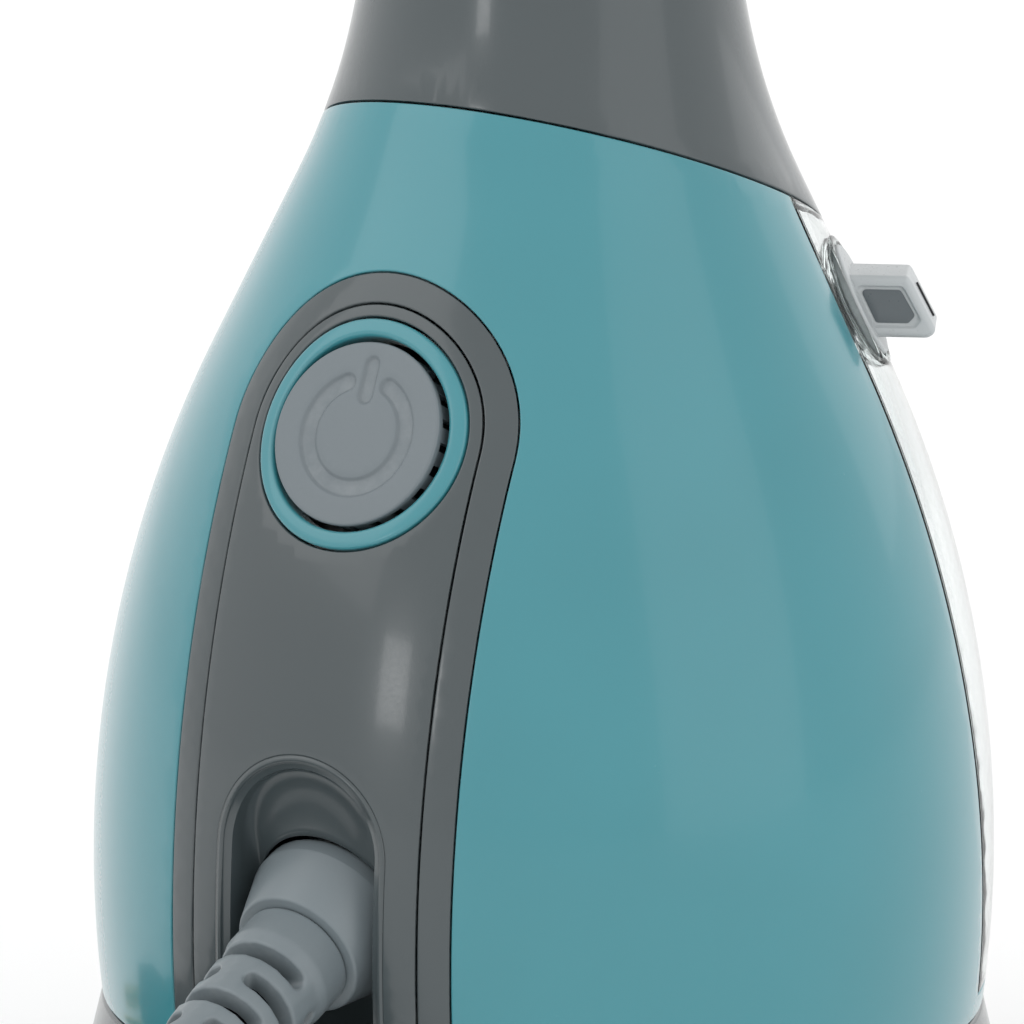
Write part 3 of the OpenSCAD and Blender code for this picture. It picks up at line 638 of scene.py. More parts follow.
def metal(name, colour, roughness, brushed=(1, 1, 1)):
    """Machined or cast metal with fine directional marks and slight tarnish."""
    look = Look(name)
    cloudy = look.spread(look.noise(70, 5, 0.6), 0, 1)
    lines = look.noise(900, 4, 0.6, brushed)
    look.bump(lines, 0.15, 0.0001)
    look.feed(look.shader, Base_Color=look.mix(cloudy, tuple(0.82 * c for c in colour), colour),
              Roughness=look.spread(lines, roughness - 0.08, roughness + 0.1), Metallic=1.0)
    return look.material


TEAL = moulded("teal_plastic", (0.038, 0.232, 0.272), 0.22, grain=0.03, coat=0.5, sheen=0.18)
SLATE = moulded("slate_plastic", (0.052, 0.067, 0.072), 0.22, grain=0.03, coat=0.4, drift=0.05)
BASE = moulded("base_plastic", (0.060, 0.068, 0.072), 0.48, grain=0.25)
BUTTON = moulded("button_plastic", (0.150, 0.178, 0.194), 0.42, grain=0.12)
RELIEF = moulded("relief_plastic", (0.165, 0.197, 0.213), 0.33, grain=0.08)
STOPPER = moulded("stopper_plastic", (0.450, 0.480, 0.490), 0.30, grain=0.08)
# A darker copy of the stopper's grey for the pull tab's sides: painted shade
SHADE = moulded("stopper_side_shade", (0.105, 0.125, 0.135), 0.30, grain=0.08)
INNER = moulded("inner_plastic", (0.60, 0.63, 0.63), 0.42, grain=0.03)
BLACK = moulded("black_plastic", (0.012, 0.012, 0.014), 0.38, grain=0.2)
CORD = moulded("cord_pvc", (0.006, 0.006, 0.007), 0.22, grain=0.15, grain_scale=900, coat=0.3)
RUBBER = moulded("soft_rubber", (0.020, 0.020, 0.022), 0.72, grain=0.5, grain_scale=1500)
SILICONE = moulded("silicone_hose", (0.62, 0.62, 0.58), 0.45, grain=0.1)
BOARD = moulded("circuit_board", (0.010, 0.110, 0.045), 0.35, grain=0.2)
CLEAR = clear_plastic("clear_plastic", (0.89, 0.93, 0.925), 0.03)
CAST = metal("cast_metal", (0.60, 0.61, 0.62), 0.42)
STEEL = metal("steel", (0.62, 0.62, 0.63), 0.28, (1, 1, 8))
BRASS = metal("brass_parts", (0.70, 0.50, 0.20), 0.30)


# ---------- camera ----------

# What the camera looks at, the direction back to it, how far off it is, its lens, and its roll
# in radians
AIM = np.array([-3.78, -2.6, 96.05])
TO_CAMERA = np.array([0.5239, -0.8252, 0.2110])
CAMERA_AWAY = 1065.6
FOCAL = 283.3
CAMERA_ROLL = 0.0076


def make_camera():
    """The camera, at the photograph's own viewpoint."""
    data = bpy.data.cameras.new("camera")
    data.lens = FOCAL
    data.sensor_width = 36
    data.clip_start, data.clip_end = 0.05, 20
    camera = new_object("camera", data)
    away = TO_CAMERA / np.linalg.norm(TO_CAMERA)
    camera.location = Vector((AIM + CAMERA_AWAY * away) * MM)
    facing = Vector(away).to_track_quat("Z", "Y") @ Quaternion((0, 0, 1), CAMERA_ROLL)
    camera.rotation_euler = facing.to_euler()
    bpy.context.scene.camera = camera


make_camera()


# ---------- mains lead ----------

# The same points as in the CAD, from the sleeve to the coil and from the coil to the plug
LEAD_ROUTE = [
    (0, -36, 58), (0, -49.6, 52.5), (0, -62.6, 47.2), (0, -75, 42.2), (0, -90, 36.2),
    (0, -105, 30.1), (-0.2, -116, 25.4), (-0.6, -126, 20.2), (-1.4, -135, 14.8),
    (-2.8, -143, 9.8), (-4.8, -150.5, 6), (-7.4, -158, 4), (-10.4, -166, 3.5)]
TAIL_ROUTE = [
    (-109.6, -130, 10.5), (-106.6, -121.6, 10.4), (-104.2, -113, 9.6), (-103, -104, 8.2),
    (-102.5, -96, 7.5), (-102.5, -90, 7.5), (-102.5, -84, 7.5)]


def smooth(points, steps):
    """A Catmull-Rom curve through the points, with that many steps between neighbours."""
    p = np.asarray(points, float)
    p = np.concatenate([p[:1], p, p[-1:]])
    rows = []
    for a, b, c, d in zip(p, p[1:], p[2:], p[3:]):
        for k in range(steps):
            s = k / steps
            rows.append(0.5 * (2 * b + (c - a) * s + (2 * a - 5 * b + 4 * c - d) * s ** 2
                               + (3 * b - a - 3 * c + d) * s ** 3))
    return np.array([*rows, p[-1]])


def coil_points():
    """The stored coil: a flat spiral inwards on the floor, a rise at its eye, and a spiral back
    out on top, clockwise seen from above."""
    reach = COIL_TURNS * CORD_D
    inner, outer = COIL_R - reach / 2, COIL_R + reach / 2
    total = 2 * COIL_TURNS + RISE_TURNS
    rows = []
    for turn in np.arange(0, total + 1e-6, 1 / 36):
        inward = min(turn, COIL_TURNS)
        outward = max(0.0, turn - COIL_TURNS - RISE_TURNS)
        risen = np.clip((turn - COIL_TURNS) / RISE_TURNS, 0, 1)
        radius = outer - CORD_D * inward + CORD_D * outward - 1.3 * math.sin(math.pi * risen)
        lift = risen * risen * (3 - 2 * risen)
        angle = COIL_START_ANGLE - 360 * turn
        rows.append((COIL_AT[0] + radius * cosd(angle), COIL_AT[1] + radius * sind(angle),
                     CORD_D * (0.5 + lift)))
    return np.array(rows)


def make_lead(plug):
    """The whole lead as one curve, from inside the sleeve to the plug."""
    points = np.concatenate([smooth(LEAD_ROUTE, 4)[4:-1], coil_points()[:-1],
                             smooth(TAIL_ROUTE, 4)])
    data = bpy.data.curves.new("mains_lead", "CURVE")
    data.dimensions = "3D"
    data.bevel_depth = CORD_D / 2 * MM
    data.bevel_resolution = 7
    data.use_fill_caps = True
    spline = data.splines.new("POLY")
    spline.points.add(len(points) - 1)
    for point, place in zip(spline.points, points * MM):
        point.co = (*place, 1)
    spline.use_smooth = True
    data.materials.append(CORD)
    lead = dress(new_object("mains_lead", data), "root",
                 ("cord_run", "cord_coil", "cord_tail"))


# ---------- outlines on the body's wall ----------

GIRTH = math.pi * BELLY_R


def neck_seam(girth, lift=0.0):
    """Heights at which the slanted neck seam meets the wall."""
    height = np.full(len(girth), NECK_SEAM_Z)
    for _ in range(60):
        front = -profile(height)[0] * np.cos(girth / BELLY_R)
        height = NECK_SEAM_Z + lift - (front - NECK_SEAM_Y) * tand(NECK_SEAM_ANGLE)
    return height


def tank_front(height, shift):
    """How far back the tank's seam plane lies at a height."""
    lean = math.radians(TANK_SEAM_ANGLE)
    return TANK_SEAM_Y - math.tan(lean) * (height - TANK_SEAM_Z) + shift / math.cos(lean)


def tank_seam(height, shift=0.0):
    """Girth at which the leaning tank seam meets the wall, on the +X side."""
    return BELLY_R * np.arccos(-tank_front(height, shift) / profile(height)[0])


def seams_meet(lift, shift):
    """Height of the point where the tank seam reaches the neck seam."""
    def below(height):
        return height < neck_seam(tank_seam(np.array([height]), shift), lift)[0]

    return last_that(below, 110.0, 150.0)


def panel_side(half, step=STEP):
    """The panel outline's right side, from its top down to the shell's lower edge. It is drawn
    longer than that and cut off there."""
    xy = np.concatenate([arc((0, 0), half, 90, 0, max(8, int(half * 1.6 / step))),
                         line((half, -step), (half, -110), step)])
    flat = panel_curve(xy)
    last = int(np.argmax(flat[:, 1] < SHELL_Z))
    a, b = flat[last - 1], flat[last]
    foot = a + (b - a) * (a[1] - SHELL_Z) / (a[1] - b[1])
    return np.concatenate([flat[:last], [foot]])


def port_circle(radius, count):
    """A clockwise circle round the filler port, on the wall, with girths past the +X side."""
    around = arc((0, 0), radius, 360, 0, count + 1)[:-1]
    return flat_of(placed(PORT, beside(around, 0)))


def panel_circle(radius, count):
    """A clockwise circle round the button, carried onto the wall."""
    return panel_curve(arc((0, 0), radius, 360, 0, count + 1)[:-1])


def pocket_outline(grow, step=1.0, corner=2.0):
    """The pocket's arch, clockwise, as rows of X and Z."""
    half, low = POCKET_HALF + grow, POCKET_LOW - grow
    top = POCKET_TOP - POCKET_HALF
    return chain(
        line((-half, low + corner), (-half, top), step),
        arc((0, top), half, 180, 0, int(math.pi * half / step)),
        line((half, top), (half, low + corner), step),
        arc((half - corner, low + corner), corner, 0, -90, 6),
        line((half - corner, low), (corner - half, low), step),
        arc((corner - half, low + corner), corner, -90, -180, 6))


def front_curve(xz):
    """Points of X and Z, carried along Y onto the front of the wall."""
    return beside(BELLY_R * np.arcsin(xz[:, 0] / profile(xz[:, 1])[0]), xz[:, 1])


# ---------- shells ----------


def make_rear_shell():
    """The coloured body shell: the wall round the panel's notch, up to the neck seam, and back
    to the tank seam with a ledge under the tank. It is cut open along its back line."""
    ledge = TANK_Z - SEAM
    corner = seams_meet(-SEAM, 0)
    notch = panel_side(BEZEL_HALF)
    heights = line((ledge, 0), (corner, 0), STEP)[:, 0]
    girths = line((tank_seam(np.array([corner]))[0], 0), (0, 0), STEP)[:, 0]
    right = np.concatenate([
        notch,
        line(notch[-1], (GIRTH, SHELL_Z), STEP)[1:],
        line((GIRTH, SHELL_Z + EDGE), (GIRTH, ledge - EDGE), STEP),
        line((GIRTH, ledge), (tank_seam(np.array([ledge]))[0], ledge), STEP),
        beside(tank_seam(heights), heights)[1:],
        beside(girths, neck_seam(girths, -SEAM))[1:]])
    loop = np.concatenate([right, mirrored(right)[1:-1]])
    at_back = np.abs(np.abs(loop[:, 0]) - GIRTH) < 1e-6
    live = ~(at_back & np.roll(at_back, -1))
    wall_piece("rear_shell_moulding", [(loop, live)], 2.0, WALL, TEAL, nodes=["rear_shell"])


def make_neck_shell():
    """The neck and grip, unrolled from the front and round to the front again, so that the
    trigger's window at the back is a plain hole."""
    girths = line((0, 0), (2 * GIRTH, 0), STEP)[:, 0]
    low = beside(girths, neck_seam(girths))
    high = beside(girths[::-1], GRIP_TOP)
    rise = line((2 * GIRTH, low[-1, 1] + EDGE), (2 * GIRTH, GRIP_TOP - EDGE), STEP)
    fall = rise[::-1] * [0, 1]
    window = back_curve(rounded_section(
        [(TRIGGER_HALF, TRIGGER_LOW), (TRIGGER_HALF, TRIGGER_HIGH),
         (-TRIGGER_HALF, TRIGGER_HIGH), (-TRIGGER_HALF, TRIGGER_LOW)], 0.8))
    wall_piece("neck_shell_moulding",
               [joined((low, True), (rise, False), (high, True), (fall, False)),
                thinned(window)], 2.0, WALL, SLATE, nodes=["neck_shell"])


def back_curve(xz):
    """Points of X and Z, carried along Y onto the back of the wall."""
    turn = np.arcsin(xz[:, 0] / profile(xz[:, 1])[0])
    return beside(GIRTH - BELLY_R * turn, xz[:, 1])


def thinned(loop, step=STEP):
    """A closed outline with its long edges divided."""
    return np.concatenate([line(a, b, step)[:-1] for a, b in zip(loop, np.roll(loop, -1, 0))])


def make_tank():
    """The clear tank's wall over the back, from its floor up to the neck seam, with the filler
    port's hole."""
    corner = seams_meet(-SEAM, SEAM)
    heights = line((TANK_Z, 0), (corner, 0), STEP)[:, 0]
    right = beside(tank_seam(heights, SEAM), heights)
    low = line((GIRTH, TANK_Z), right[0], STEP)[:-1]
    girths = line((right[-1, 0], 0), (GIRTH, 0), STEP)[1:, 0]
    half = np.concatenate([low, right, beside(girths, neck_seam(girths, -SEAM))])
    far_half = (half * [-1, 1] + [2 * GIRTH, 0])[::-1]
    loop = np.concatenate([half, far_half[1:-1]])[::-1]
    wall_piece("water_tank_wall", [loop, port_circle(PORT_RIM, 48)], 2.2, TANK_WALL, CLEAR,
               nodes=["water_tank"])


def make_tank_walls():
    """The clear tank's flat front, floor and sloping top, inside its curved wall."""
    corner = seams_meet(-SEAM, SEAM) - 0.4

    def reach(height):
        radius, lean = profile(height)
        return radius - (TANK_WALL - 0.02) / cosd(lean)

    def slab(name, outline, near, far):
        flat, depth, triangles = patch([thinned(outline, 2.5)], [(0.0, 0.0)], 6.0)
        closed_shell(name, near(flat), far(flat), triangles, depth, CLEAR)

    def upright(shift):
        return lambda flat: beside(flat[:, 0], tank_front(flat[:, 1], SEAM) + shift, flat[:, 1])

    def top_of(y, drop):
        return NECK_SEAM_Z - SEAM - drop - (y - NECK_SEAM_Y) * tand(NECK_SEAM_ANGLE)

    heights = line((TANK_Z + TANK_WALL, 0), (corner, 0), 3.0)[:, 0]
    half = np.sqrt(reach(heights) ** 2 - tank_front(heights, SEAM) ** 2)
    right = beside(half, heights)
    slab("water_tank_front", np.concatenate([right, mirrored(right)]),
         upright(0), upright(TANK_WALL))
    low_r = float(reach(np.array([TANK_Z + 1.0]))[0])
    start = math.degrees(math.asin((float(tank_front(TANK_Z, SEAM)) + 0.3) / low_r))
    slab("water_tank_floor", arc((0, 0), low_r, start, 180 - start, 80),
         lambda flat: beside(flat, TANK_Z), lambda flat: beside(flat, TANK_Z + TANK_WALL))

    def rim(turn):
        out = np.array([math.cos(turn), math.sin(turn)])
        return out * last_that(lambda r: r < reach(np.array([top_of(r * out[1], 1.0)]))[0],
                               5.0, 70.0)

    edge = np.array([rim(turn) for turn in np.radians(np.linspace(0, 180, 90))])
    edge = edge[edge[:, 1] > float(tank_front(corner, SEAM)) + 0.5]
    slab("water_tank_top", edge, lambda flat: beside(flat, top_of(flat[:, 1], TANK_WALL)),
         lambda flat: beside(flat, top_of(flat[:, 1], 0.05)))


def make_bezel():
    """The panel's slate border, between the body shell and the inlay."""
    outer, inner = panel_side(BEZEL_HALF - 0.2), panel_side(INLAY_HALF)
    foot = line(outer[-1] * [-1, 1], inner[-1] * [-1, 1], STEP)[1:-1]
    loop = np.concatenate([outer[::-1], (outer * [-1, 1])[1:], foot,
                           mirrored(inner), inner[1:], mirrored(foot)])
    wall_piece("panel_bezel_moulding", [loop], 1.6, INLAY_T, SLATE, nodes=["panel_bezel"])


def make_inlay():
    """The panel's slate inlay, with holes for the ring and the cord pocket."""
    side = panel_side(INLAY_HALF - 0.25)
    foot = line(side[-1] * [-1, 1], side[-1], STEP)[1:-1]
    loop = np.concatenate([side[::-1], (side * [-1, 1])[1:], foot])
    holes = [panel_circle(RING_R + 0.25, 110), front_curve(pocket_outline(LIP))]
    wall_piece("panel_inlay_moulding", [loop, *holes], 1.4, INLAY_T, SLATE,
               nodes=["panel_inlay"])


def make_pocket():
    """The scoop that the lead leaves through: a rounded lip, a wall straight in, and a back
    square to the lead, blended by a hollow that is widest over the lead."""
    lip = pocket_outline(LIP, 1.0, 2.0 + LIP)
    count = len(lip)
    tangent = np.roll(lip, -1, 0) - np.roll(lip, 1, 0)
    inward = beside(tangent[:, 1], -tangent[:, 0])
    inward /= np.linalg.norm(inward, axis=1)[:, None]
    front = on_body(front_curve(lip), np.zeros(count))[:, 1]
    middle = np.array([0, BARREL_AT[2]])
    spokes = lip - middle
    ring = BARREL_HOLE * spokes / np.linalg.norm(spokes, axis=1)[:, None] + middle
    ring_y = BARREL_AT[1] - tand(CORD_DIP) * (ring[:, 1] - BARREL_AT[2])
    rows = []
    for turn in np.linspace(0, 90, 7):
        rows.append((lip + inward * LIP * (1 - cosd(turn)), front + LIP * sind(turn)))
    start, drop = lip + inward * LIP, front + LIP
    for turn in np.linspace(0, 90, 16)[1:]:
        xz = start + (ring - start) * (1 - cosd(turn))
        rows.append((xz, drop + (ring_y - drop) * sind(turn) ** 0.9))
    points = np.concatenate([beside(xz[:, 0], y, xz[:, 1]) for xz, y in rows])
    piece = add_piece("cord_pocket_moulding", points, loft_faces(len(rows), count, False),
                      SLATE, nodes=["cord_pocket"], flat_over=60)
    modifier = piece.modifiers.new("wall", "SOLIDIFY")
    modifier.thickness = 0.9 * MM
    modifier.offset = -1


def make_ring():
    """The coloured ring, whose rounded section follows the body's wall."""
    outer, low, high = RING_R - 0.05, -4.0, RING_PROUD
    section = rounded_section([(RING_INNER, low), (outer, low), (outer, high),
                               (RING_INNER, high)], [0.1, 0.1, 0.45, 0.75])
    sides = 180
    angles = np.arange(sides) * 2 * np.pi / sides
    points = []
    for reach, proud in section:
        xy = reach * beside(np.sin(angles), np.cos(angles))
        points.append(placed(PANEL, beside(xy, height_on_panel(xy) + proud)))
    add_piece("button_ring_moulding", np.concatenate(points), loft_faces(len(section), sides),
              TEAL, nodes=["button_ring"])


def open_circle(half):
    """Outline, anticlockwise, of a thick circle open at its top, with round ends."""
    first, last = 90 + SYMBOL_GAP, 450 - SYMBOL_GAP
    ends = [SYMBOL_R * np.array([cosd(a), sind(a)]) for a in (first, last)]
    steps = max(5, int(half * 7))
    return chain(arc((0, 0), SYMBOL_R + half, first, last, 120),
                 arc(ends[1], half, last, last + 180, steps),
                 arc((0, 0), SYMBOL_R - half, last, first, 110),
                 arc(ends[0], half, first + 180, first + 360, steps))


def bar(half):
    """Outline, anticlockwise, of the symbol's upright bar."""
    steps = max(5, int(half * 7))
    return chain(arc((0, BAR_TOP), half, 0, 180, steps),
                 line((-half, BAR_TOP), (-half, BAR_LOW), 0.5),
                 arc((0, BAR_LOW), half, 180, 360, steps),
                 line((half, BAR_LOW), (half, BAR_TOP), 0.5))


def make_button():
    """The power button's flat face, with a rounded rim and an engraved symbol."""
    bevel = [(0.30, 0.0), (0.18, 0.05), (0.0, 0.22), (-0.16, 0.40), (-0.26, 0.44)]
    features = [([(outline(half + grow), deep) for grow, deep in bevel], bevel[-1][1])
                for outline, half in ((open_circle, SYMBOL_HALF), (bar, BAR_HALF))]
    rim = arc((0, 0), BUTTON_R, 0, 360, 181)[:-1]
    flat, depth, triangles = patch([rim], rounding(0.35, 5), 0.8, features=features)
    closed_shell("power_button_face", placed(PANEL, beside(flat, FACE_UP - depth)),
                 placed(PANEL, beside(flat * 0.99, FACE_UP - FACE_T)), triangles,
                 np.clip(depth * 1.2, 0, 1), BUTTON, body="power_button",
                 nodes=["power_button"])


def make_button_skirt():
    """The button's toothed skirt, whose teeth are blocks of slightly uneven reach and pitch,
    and a black sleeve inside it that paints the shade seen in the gaps between the teeth."""
    points, faces = [], []
    for k in range(TEETH):
        reach = BUTTON_R - 0.25 - 0.12 * math.sin(2.3 * k)
        for turn, out in ((-0.26, reach), (0.30, reach), (0.30, 10.9), (-0.26, 10.9)):
            angle = (k + turn + 0.1 * math.sin(5.1 * k)) * 2 * math.pi / TEETH
            for up in (FACE_UP - FACE_T + 0.05, SKIRT_LOW):
                points.append((out * math.sin(angle), out * math.cos(angle), up))
        sides = [[k * 8 + i for i in (a, (a + 2) % 8, (a + 3) % 8, a + 1)] for a in (0, 2, 4, 6)]
        ends = [[k * 8 + i for i in corners] for corners in ((0, 6, 4, 2), (1, 3, 5, 7))]
        faces += sides + ends
    add_piece("power_button_skirt", placed(PANEL, points), faces, BUTTON, body="power_button")
    # Painted shade: a black sleeve behind the teeth, so that the gaps between them show dark
    turned("power_button_shade_sleeve", [(11.0, -1.5), (11.0, SKIRT_LOW), (10.3, SKIRT_LOW),
                                   (10.3, -1.5)],
           BLACK, PANEL, 96, body="power_button", slot="button_plastic")


def make_barrel():
    """The barrel that the lead's relief comes out of, with a crisp shoulder."""
    section = rounded_section([(11.25, 0.05), (11.25, 2.5), (8.75, 10.0), (5.3, 10.0),
                               (5.3, -6.0), (8.8, -6.0), (8.8, 0.05)],
                              [0.35, 0.5, 0.5, 0.3, 0.2, 0.2, 0.2])
    turned("cord_barrel_moulding", section, RELIEF, LEAD, 160, nodes=["cord_barrel"])


def sleeve_radius(along):
    """Outer radius of the relief: the collar, a small step, then a slow taper."""
    tapered = np.clip((along - COLLAR_TO) / SLEEVE_TAPER, 0, 1)
    taper = SLEEVE_R + (SLEEVE_TIP_R - SLEEVE_R) * tapered
    step = np.clip((along - COLLAR_TO + 0.5) / 0.7, 0, 1)
    return COLLAR_R + (taper - COLLAR_R) * step * step * (3 - 2 * step)


def on_sleeve(flat, depth):
    """The relief's faceted outside, unrolled: flat is (turn on a circle of UNROLL, along the
    lead)."""
    turn = flat[:, 0] / UNROLL
    facet = 2 * np.pi / SLEEVE_FACETS
    off = (turn + facet / 2) % facet - facet / 2
    flatness = np.clip((flat[:, 1] - COLLAR_TO) / 1.0, 0, 1)
    radius = sleeve_radius(flat[:, 1])
    radius = radius * (1 - flatness * (1 - math.cos(facet / 2) / np.cos(off))) - depth
    return placed(LEAD, beside(radius * np.cos(turn), radius * np.sin(turn), flat[:, 1]))


def slot_outline(middle, along):
    """A slot with round ends, clockwise, on the unrolled relief."""
    half = SLOT_LONG / 2
    reach = math.radians(SLOT_HALF_TURN) * UNROLL - half
    centre = np.array([middle, along + half])
    return chain(arc(centre + [-reach, 0], half, 270, 90, 9),
                 line(centre + [-reach, half], centre + [reach, half], 0.7),
                 arc(centre + [reach, 0], half, 90, -90, 9),
                 line(centre + [reach, -half], centre + [-reach, -half], 0.7))


def make_relief():
    """The slotted relief. Half of it is unrolled, from one side's middle to the other's, and
    the second half is the same turned half way round."""
    quarter = math.pi / 2 * UNROLL
    start = COLLAR_FROM
    side = []
    for row in range(0, SLOT_ROWS, 2):
        low = SLOT_FROM + row * SLOT_PITCH
        side.append((line((quarter, start + SLEEVE_EDGE), (quarter, low - SLEEVE_EDGE), 0.9),
                     False))
        whole = slot_outline(quarter, low)
        bay = whole[whole[:, 0] < quarter - 1e-6]
        order = np.argsort(np.arctan2(bay[:, 1] - low - SLOT_LONG / 2, quarter - bay[:, 0]))
        start = low + SLOT_LONG
        side.append((np.concatenate([[(quarter, low)], bay[order], [(quarter, start)]]), True))
    side.append((line((quarter, start + SLEEVE_EDGE), (quarter, SLEEVE_END - SLEEVE_EDGE), 0.9),
                 False))
    other = [(mirrored(points), live) for points, live in side[::-1]]
    low = line((-quarter, COLLAR_FROM), (quarter, COLLAR_FROM), 0.8)
    high = low[::-1] * [1, 0] + [0, SLEEVE_END]
    holes = [slot_outline(0, SLOT_FROM + row * SLOT_PITCH) for row in range(1, SLOT_ROWS, 2)]
    flat, depth, triangles = patch([joined((low, True), *side, (high, True), *other), *holes],
                                   rounding(SLEEVE_EDGE), 0.75)
    triangles = np.concatenate([triangles, triangles + len(flat)])
    flat = np.concatenate([flat, flat + [2 * quarter, 0]])
    depth = np.concatenate([depth, depth])
    bore = CORD_D / 2 + 0.25
    turn = flat[:, 0] / UNROLL
    inner = placed(LEAD, beside(bore * np.cos(turn), bore * np.sin(turn), flat[:, 1]))
    closed_shell("strain_relief_sleeve", on_sleeve(flat, depth), inner, triangles,
                 depth / SLEEVE_EDGE, RELIEF, body="strain_relief", nodes=["strain_relief"])


def make_skirt():
    """The dark skirt round the foot, with the step that the shells stand on."""
    section = rounded_section([(62, 2.2), (62, 18), (58.9, 31), (56.3, 31), (56.3, 33.6),
                               (54.3, 33.6), (54.3, 28.6), (59.5, 18), (59.5, 2.2)],
                              [0.8, 14, 0.9, 0.2, 0.3, 0.3, 0.5, 6, 0.3], 8)
    turned("base_skirt_moulding", section, SLATE, None, 256, nodes=["base_skirt"])


# ---------- plug ----------

PLUG = frame_axes([-102.5, -84.0, 7.5], [-1, 0, 0], [0, 0, 1])
# Along the plug: distance from its tail, half width, half height, squareness
PLUG_ROWS = [(18.6, 6.2, 6.2, 2.0), (20.5, 7.4, 6.5, 2.1), (23, 11.2, 6.9, 2.3),
             (26, 15.2, 7.2, 2.7), (29, 16.8, 7.3, 3.2), (40, 17, 7.3, 3.4),
             (41.2, 16.5, 6.9, 3.3), (41.8, 15.7, 6.2, 3.1), (42, 14.8, 5.4, 3.0)]


def make_plug_body():
    """The plug's flared body, with grip ribs."""
    table = np.array(PLUG_ROWS)
    rim = [40, 40.6, 41.2, 41.55, 41.8, 41.95, 42]
    stations = np.concatenate([np.arange(table[0, 0], rim[0], 0.35), rim])
    sides = 72
    around = np.radians(np.arange(0, 360, 360 // sides))
    points = []
    for s in stations:
        wide, high, square = (np.interp(s, table[:, 0], table[:, k]) for k in (1, 2, 3))
        if RIBS_FROM < s < RIBS_TO:
            high -= 0.28 * (1 - math.cos((s - RIBS_FROM) * 2 * math.pi / RIBS_PITCH))
        bulge = (np.abs(np.cos(around)) ** square + np.abs(np.sin(around)) ** square)
        bulge = bulge ** (-1 / square)
        points.append(beside(wide * bulge * np.cos(around), high * bulge * np.sin(around), s))
    faces = loft_faces(len(stations), sides, closed=False)
    faces += [list(range(sides))[::-1], [(len(stations) - 1) * sides + i for i in range(sides)]]
    return add_piece("plug_body_moulding", placed(PLUG, np.concatenate(points)), faces, BLACK,
                     nodes=["plug_body"])


def make_plug_tail():
    """The ringed tail between the lead and the plug's body."""
    section, radii = [(4.3, 0.2)], [0.4]
    rings, first, pitch = 5, 2.4, 3.4
    for k in range(rings):
        s = first + pitch * k
        reach = 4.3 + 0.105 * s
        section += [(reach, s), (reach - 0.75, s + 0.1), (reach - 0.7, s + 1.3),
                    (reach + 0.15, s + 1.4)]
        radii += [0.3, 0.2, 0.2, 0.3]
    section += [(6.3, 19.4), (3.6, 19.4), (3.6, 0.2)]
    radii += [0.2, 0.2, 0.2]
    return turned("plug_tail", rounded_section(section, radii, 3), BLACK, PLUG, 64)


def make_plug_pin(side, which):
    """One of the two round pins, on that side of the plug's middle."""
    pin = rounded_section([(0, 41.5), (3.1, 41.5), (3.1, 42.6), (2.4, 42.9), (2.4, 61), (0, 61)],
                          [0, 0.2, 0.4, 0.2, 1.6, 0], 6)
    local = (PLUG[0] + side * PIN_APART / 2 * PLUG[1][0], PLUG[1])
    return turned("plug_pin_" + which, pin, BRASS, local, 48, nodes=["plug_pins"])


# ---------- filler stopper ----------

# The stopper's pull tab in a frame with X along the port's heading, Y up and Z to its side
TAB = frame_axes([0, 0, 0], [cosd(PORT_TURN), sind(PORT_TURN), 0], [0, 0, 1])


def tab_outline(inset):
    """Side view of the pull tab, anticlockwise: along the port's heading, and up."""
    low, high = PORT_Z - TAB_HIGH + inset, PORT_Z + TAB_HIGH - inset
    out = TAB_OUT - inset

    def wall(height):
        return PORT_WALL - 0.6 - (height - PORT_Z) * tand(SHOULDER)

    return [(wall(high) + inset, high), (wall(low) + inset, low), (wall(low) + out - 1.4, low),
            (wall(low + 1) + out, low + 1), (wall(high) + out, high - 0.5),
            (wall(high) + out - 0.4, high)]


def both_sides(name, outline, half, radius, material, local, features=(), **dressing):
    """A flat moulding seen from the side, rounded along both faces, half thick each way."""
    flat, depth, triangles = patch([thinned(outline, 0.7)], rounding(radius, 5), 0.8,
                                   features=features)
    closed_shell(name, placed(local, beside(flat, half - depth)),
                 placed(local, beside(flat, depth - half)), triangles,
                 np.clip(depth / radius, 0, 1), material, **dressing)


def thin_piece(name, outline, step, radius, spacing, local, high, low, material, **dressing):
    """A thin flat piece let into another, with its top edge slightly rounded."""
    flat, depth, triangles = patch([thinned(outline, step)], rounding(radius, 2), spacing)
    closed_shell(name, placed(local, beside(flat, high - depth)), placed(local, beside(flat, low)),
                 triangles, np.zeros(len(flat)), material, body="filler_stopper", **dressing)


def make_tab():
    """The stopper's pull tab, with a recess in each of its sides, and in each recess a dark sheet
    that paints shade, so the sides look darker than the lit top.
    """
    bevel = [(1.15, 0.0), (1.3, 0.06), (1.42, 0.3), (1.6, 0.55), (1.8, 0.6)]
    recess = [(thinned(rounded_section(tab_outline(inwards), 0.7, 4), 0.6), deep)
              for inwards, deep in bevel]
    both_sides("filler_stopper_tab",
               rounded_section(tab_outline(0), [0.3, 0.3, 1.6, 1.6, 1.2, 1.2]),
               TAB_HALF, 0.75, STOPPER, TAB, [(recess, bevel[-1][1])],
               body="filler_stopper", slot="button_plastic")
    # Painted shade: a dark sheet in each side's recess, in a darker copy of the stopper's grey
    panel = rounded_section(tab_outline(1.9), 0.5, 4)
    for side, which in ((-1, "far"), (1, "near")):
        facing = (TAB[0], TAB[1] * [[1], [1], [side]])
        thin_piece("filler_stopper_side_" + which, panel, 0.6, 0.06, 0.9, facing,
                   TAB_HALF - 0.5, TAB_HALF - 0.75, SHADE, slot="slate_plastic")


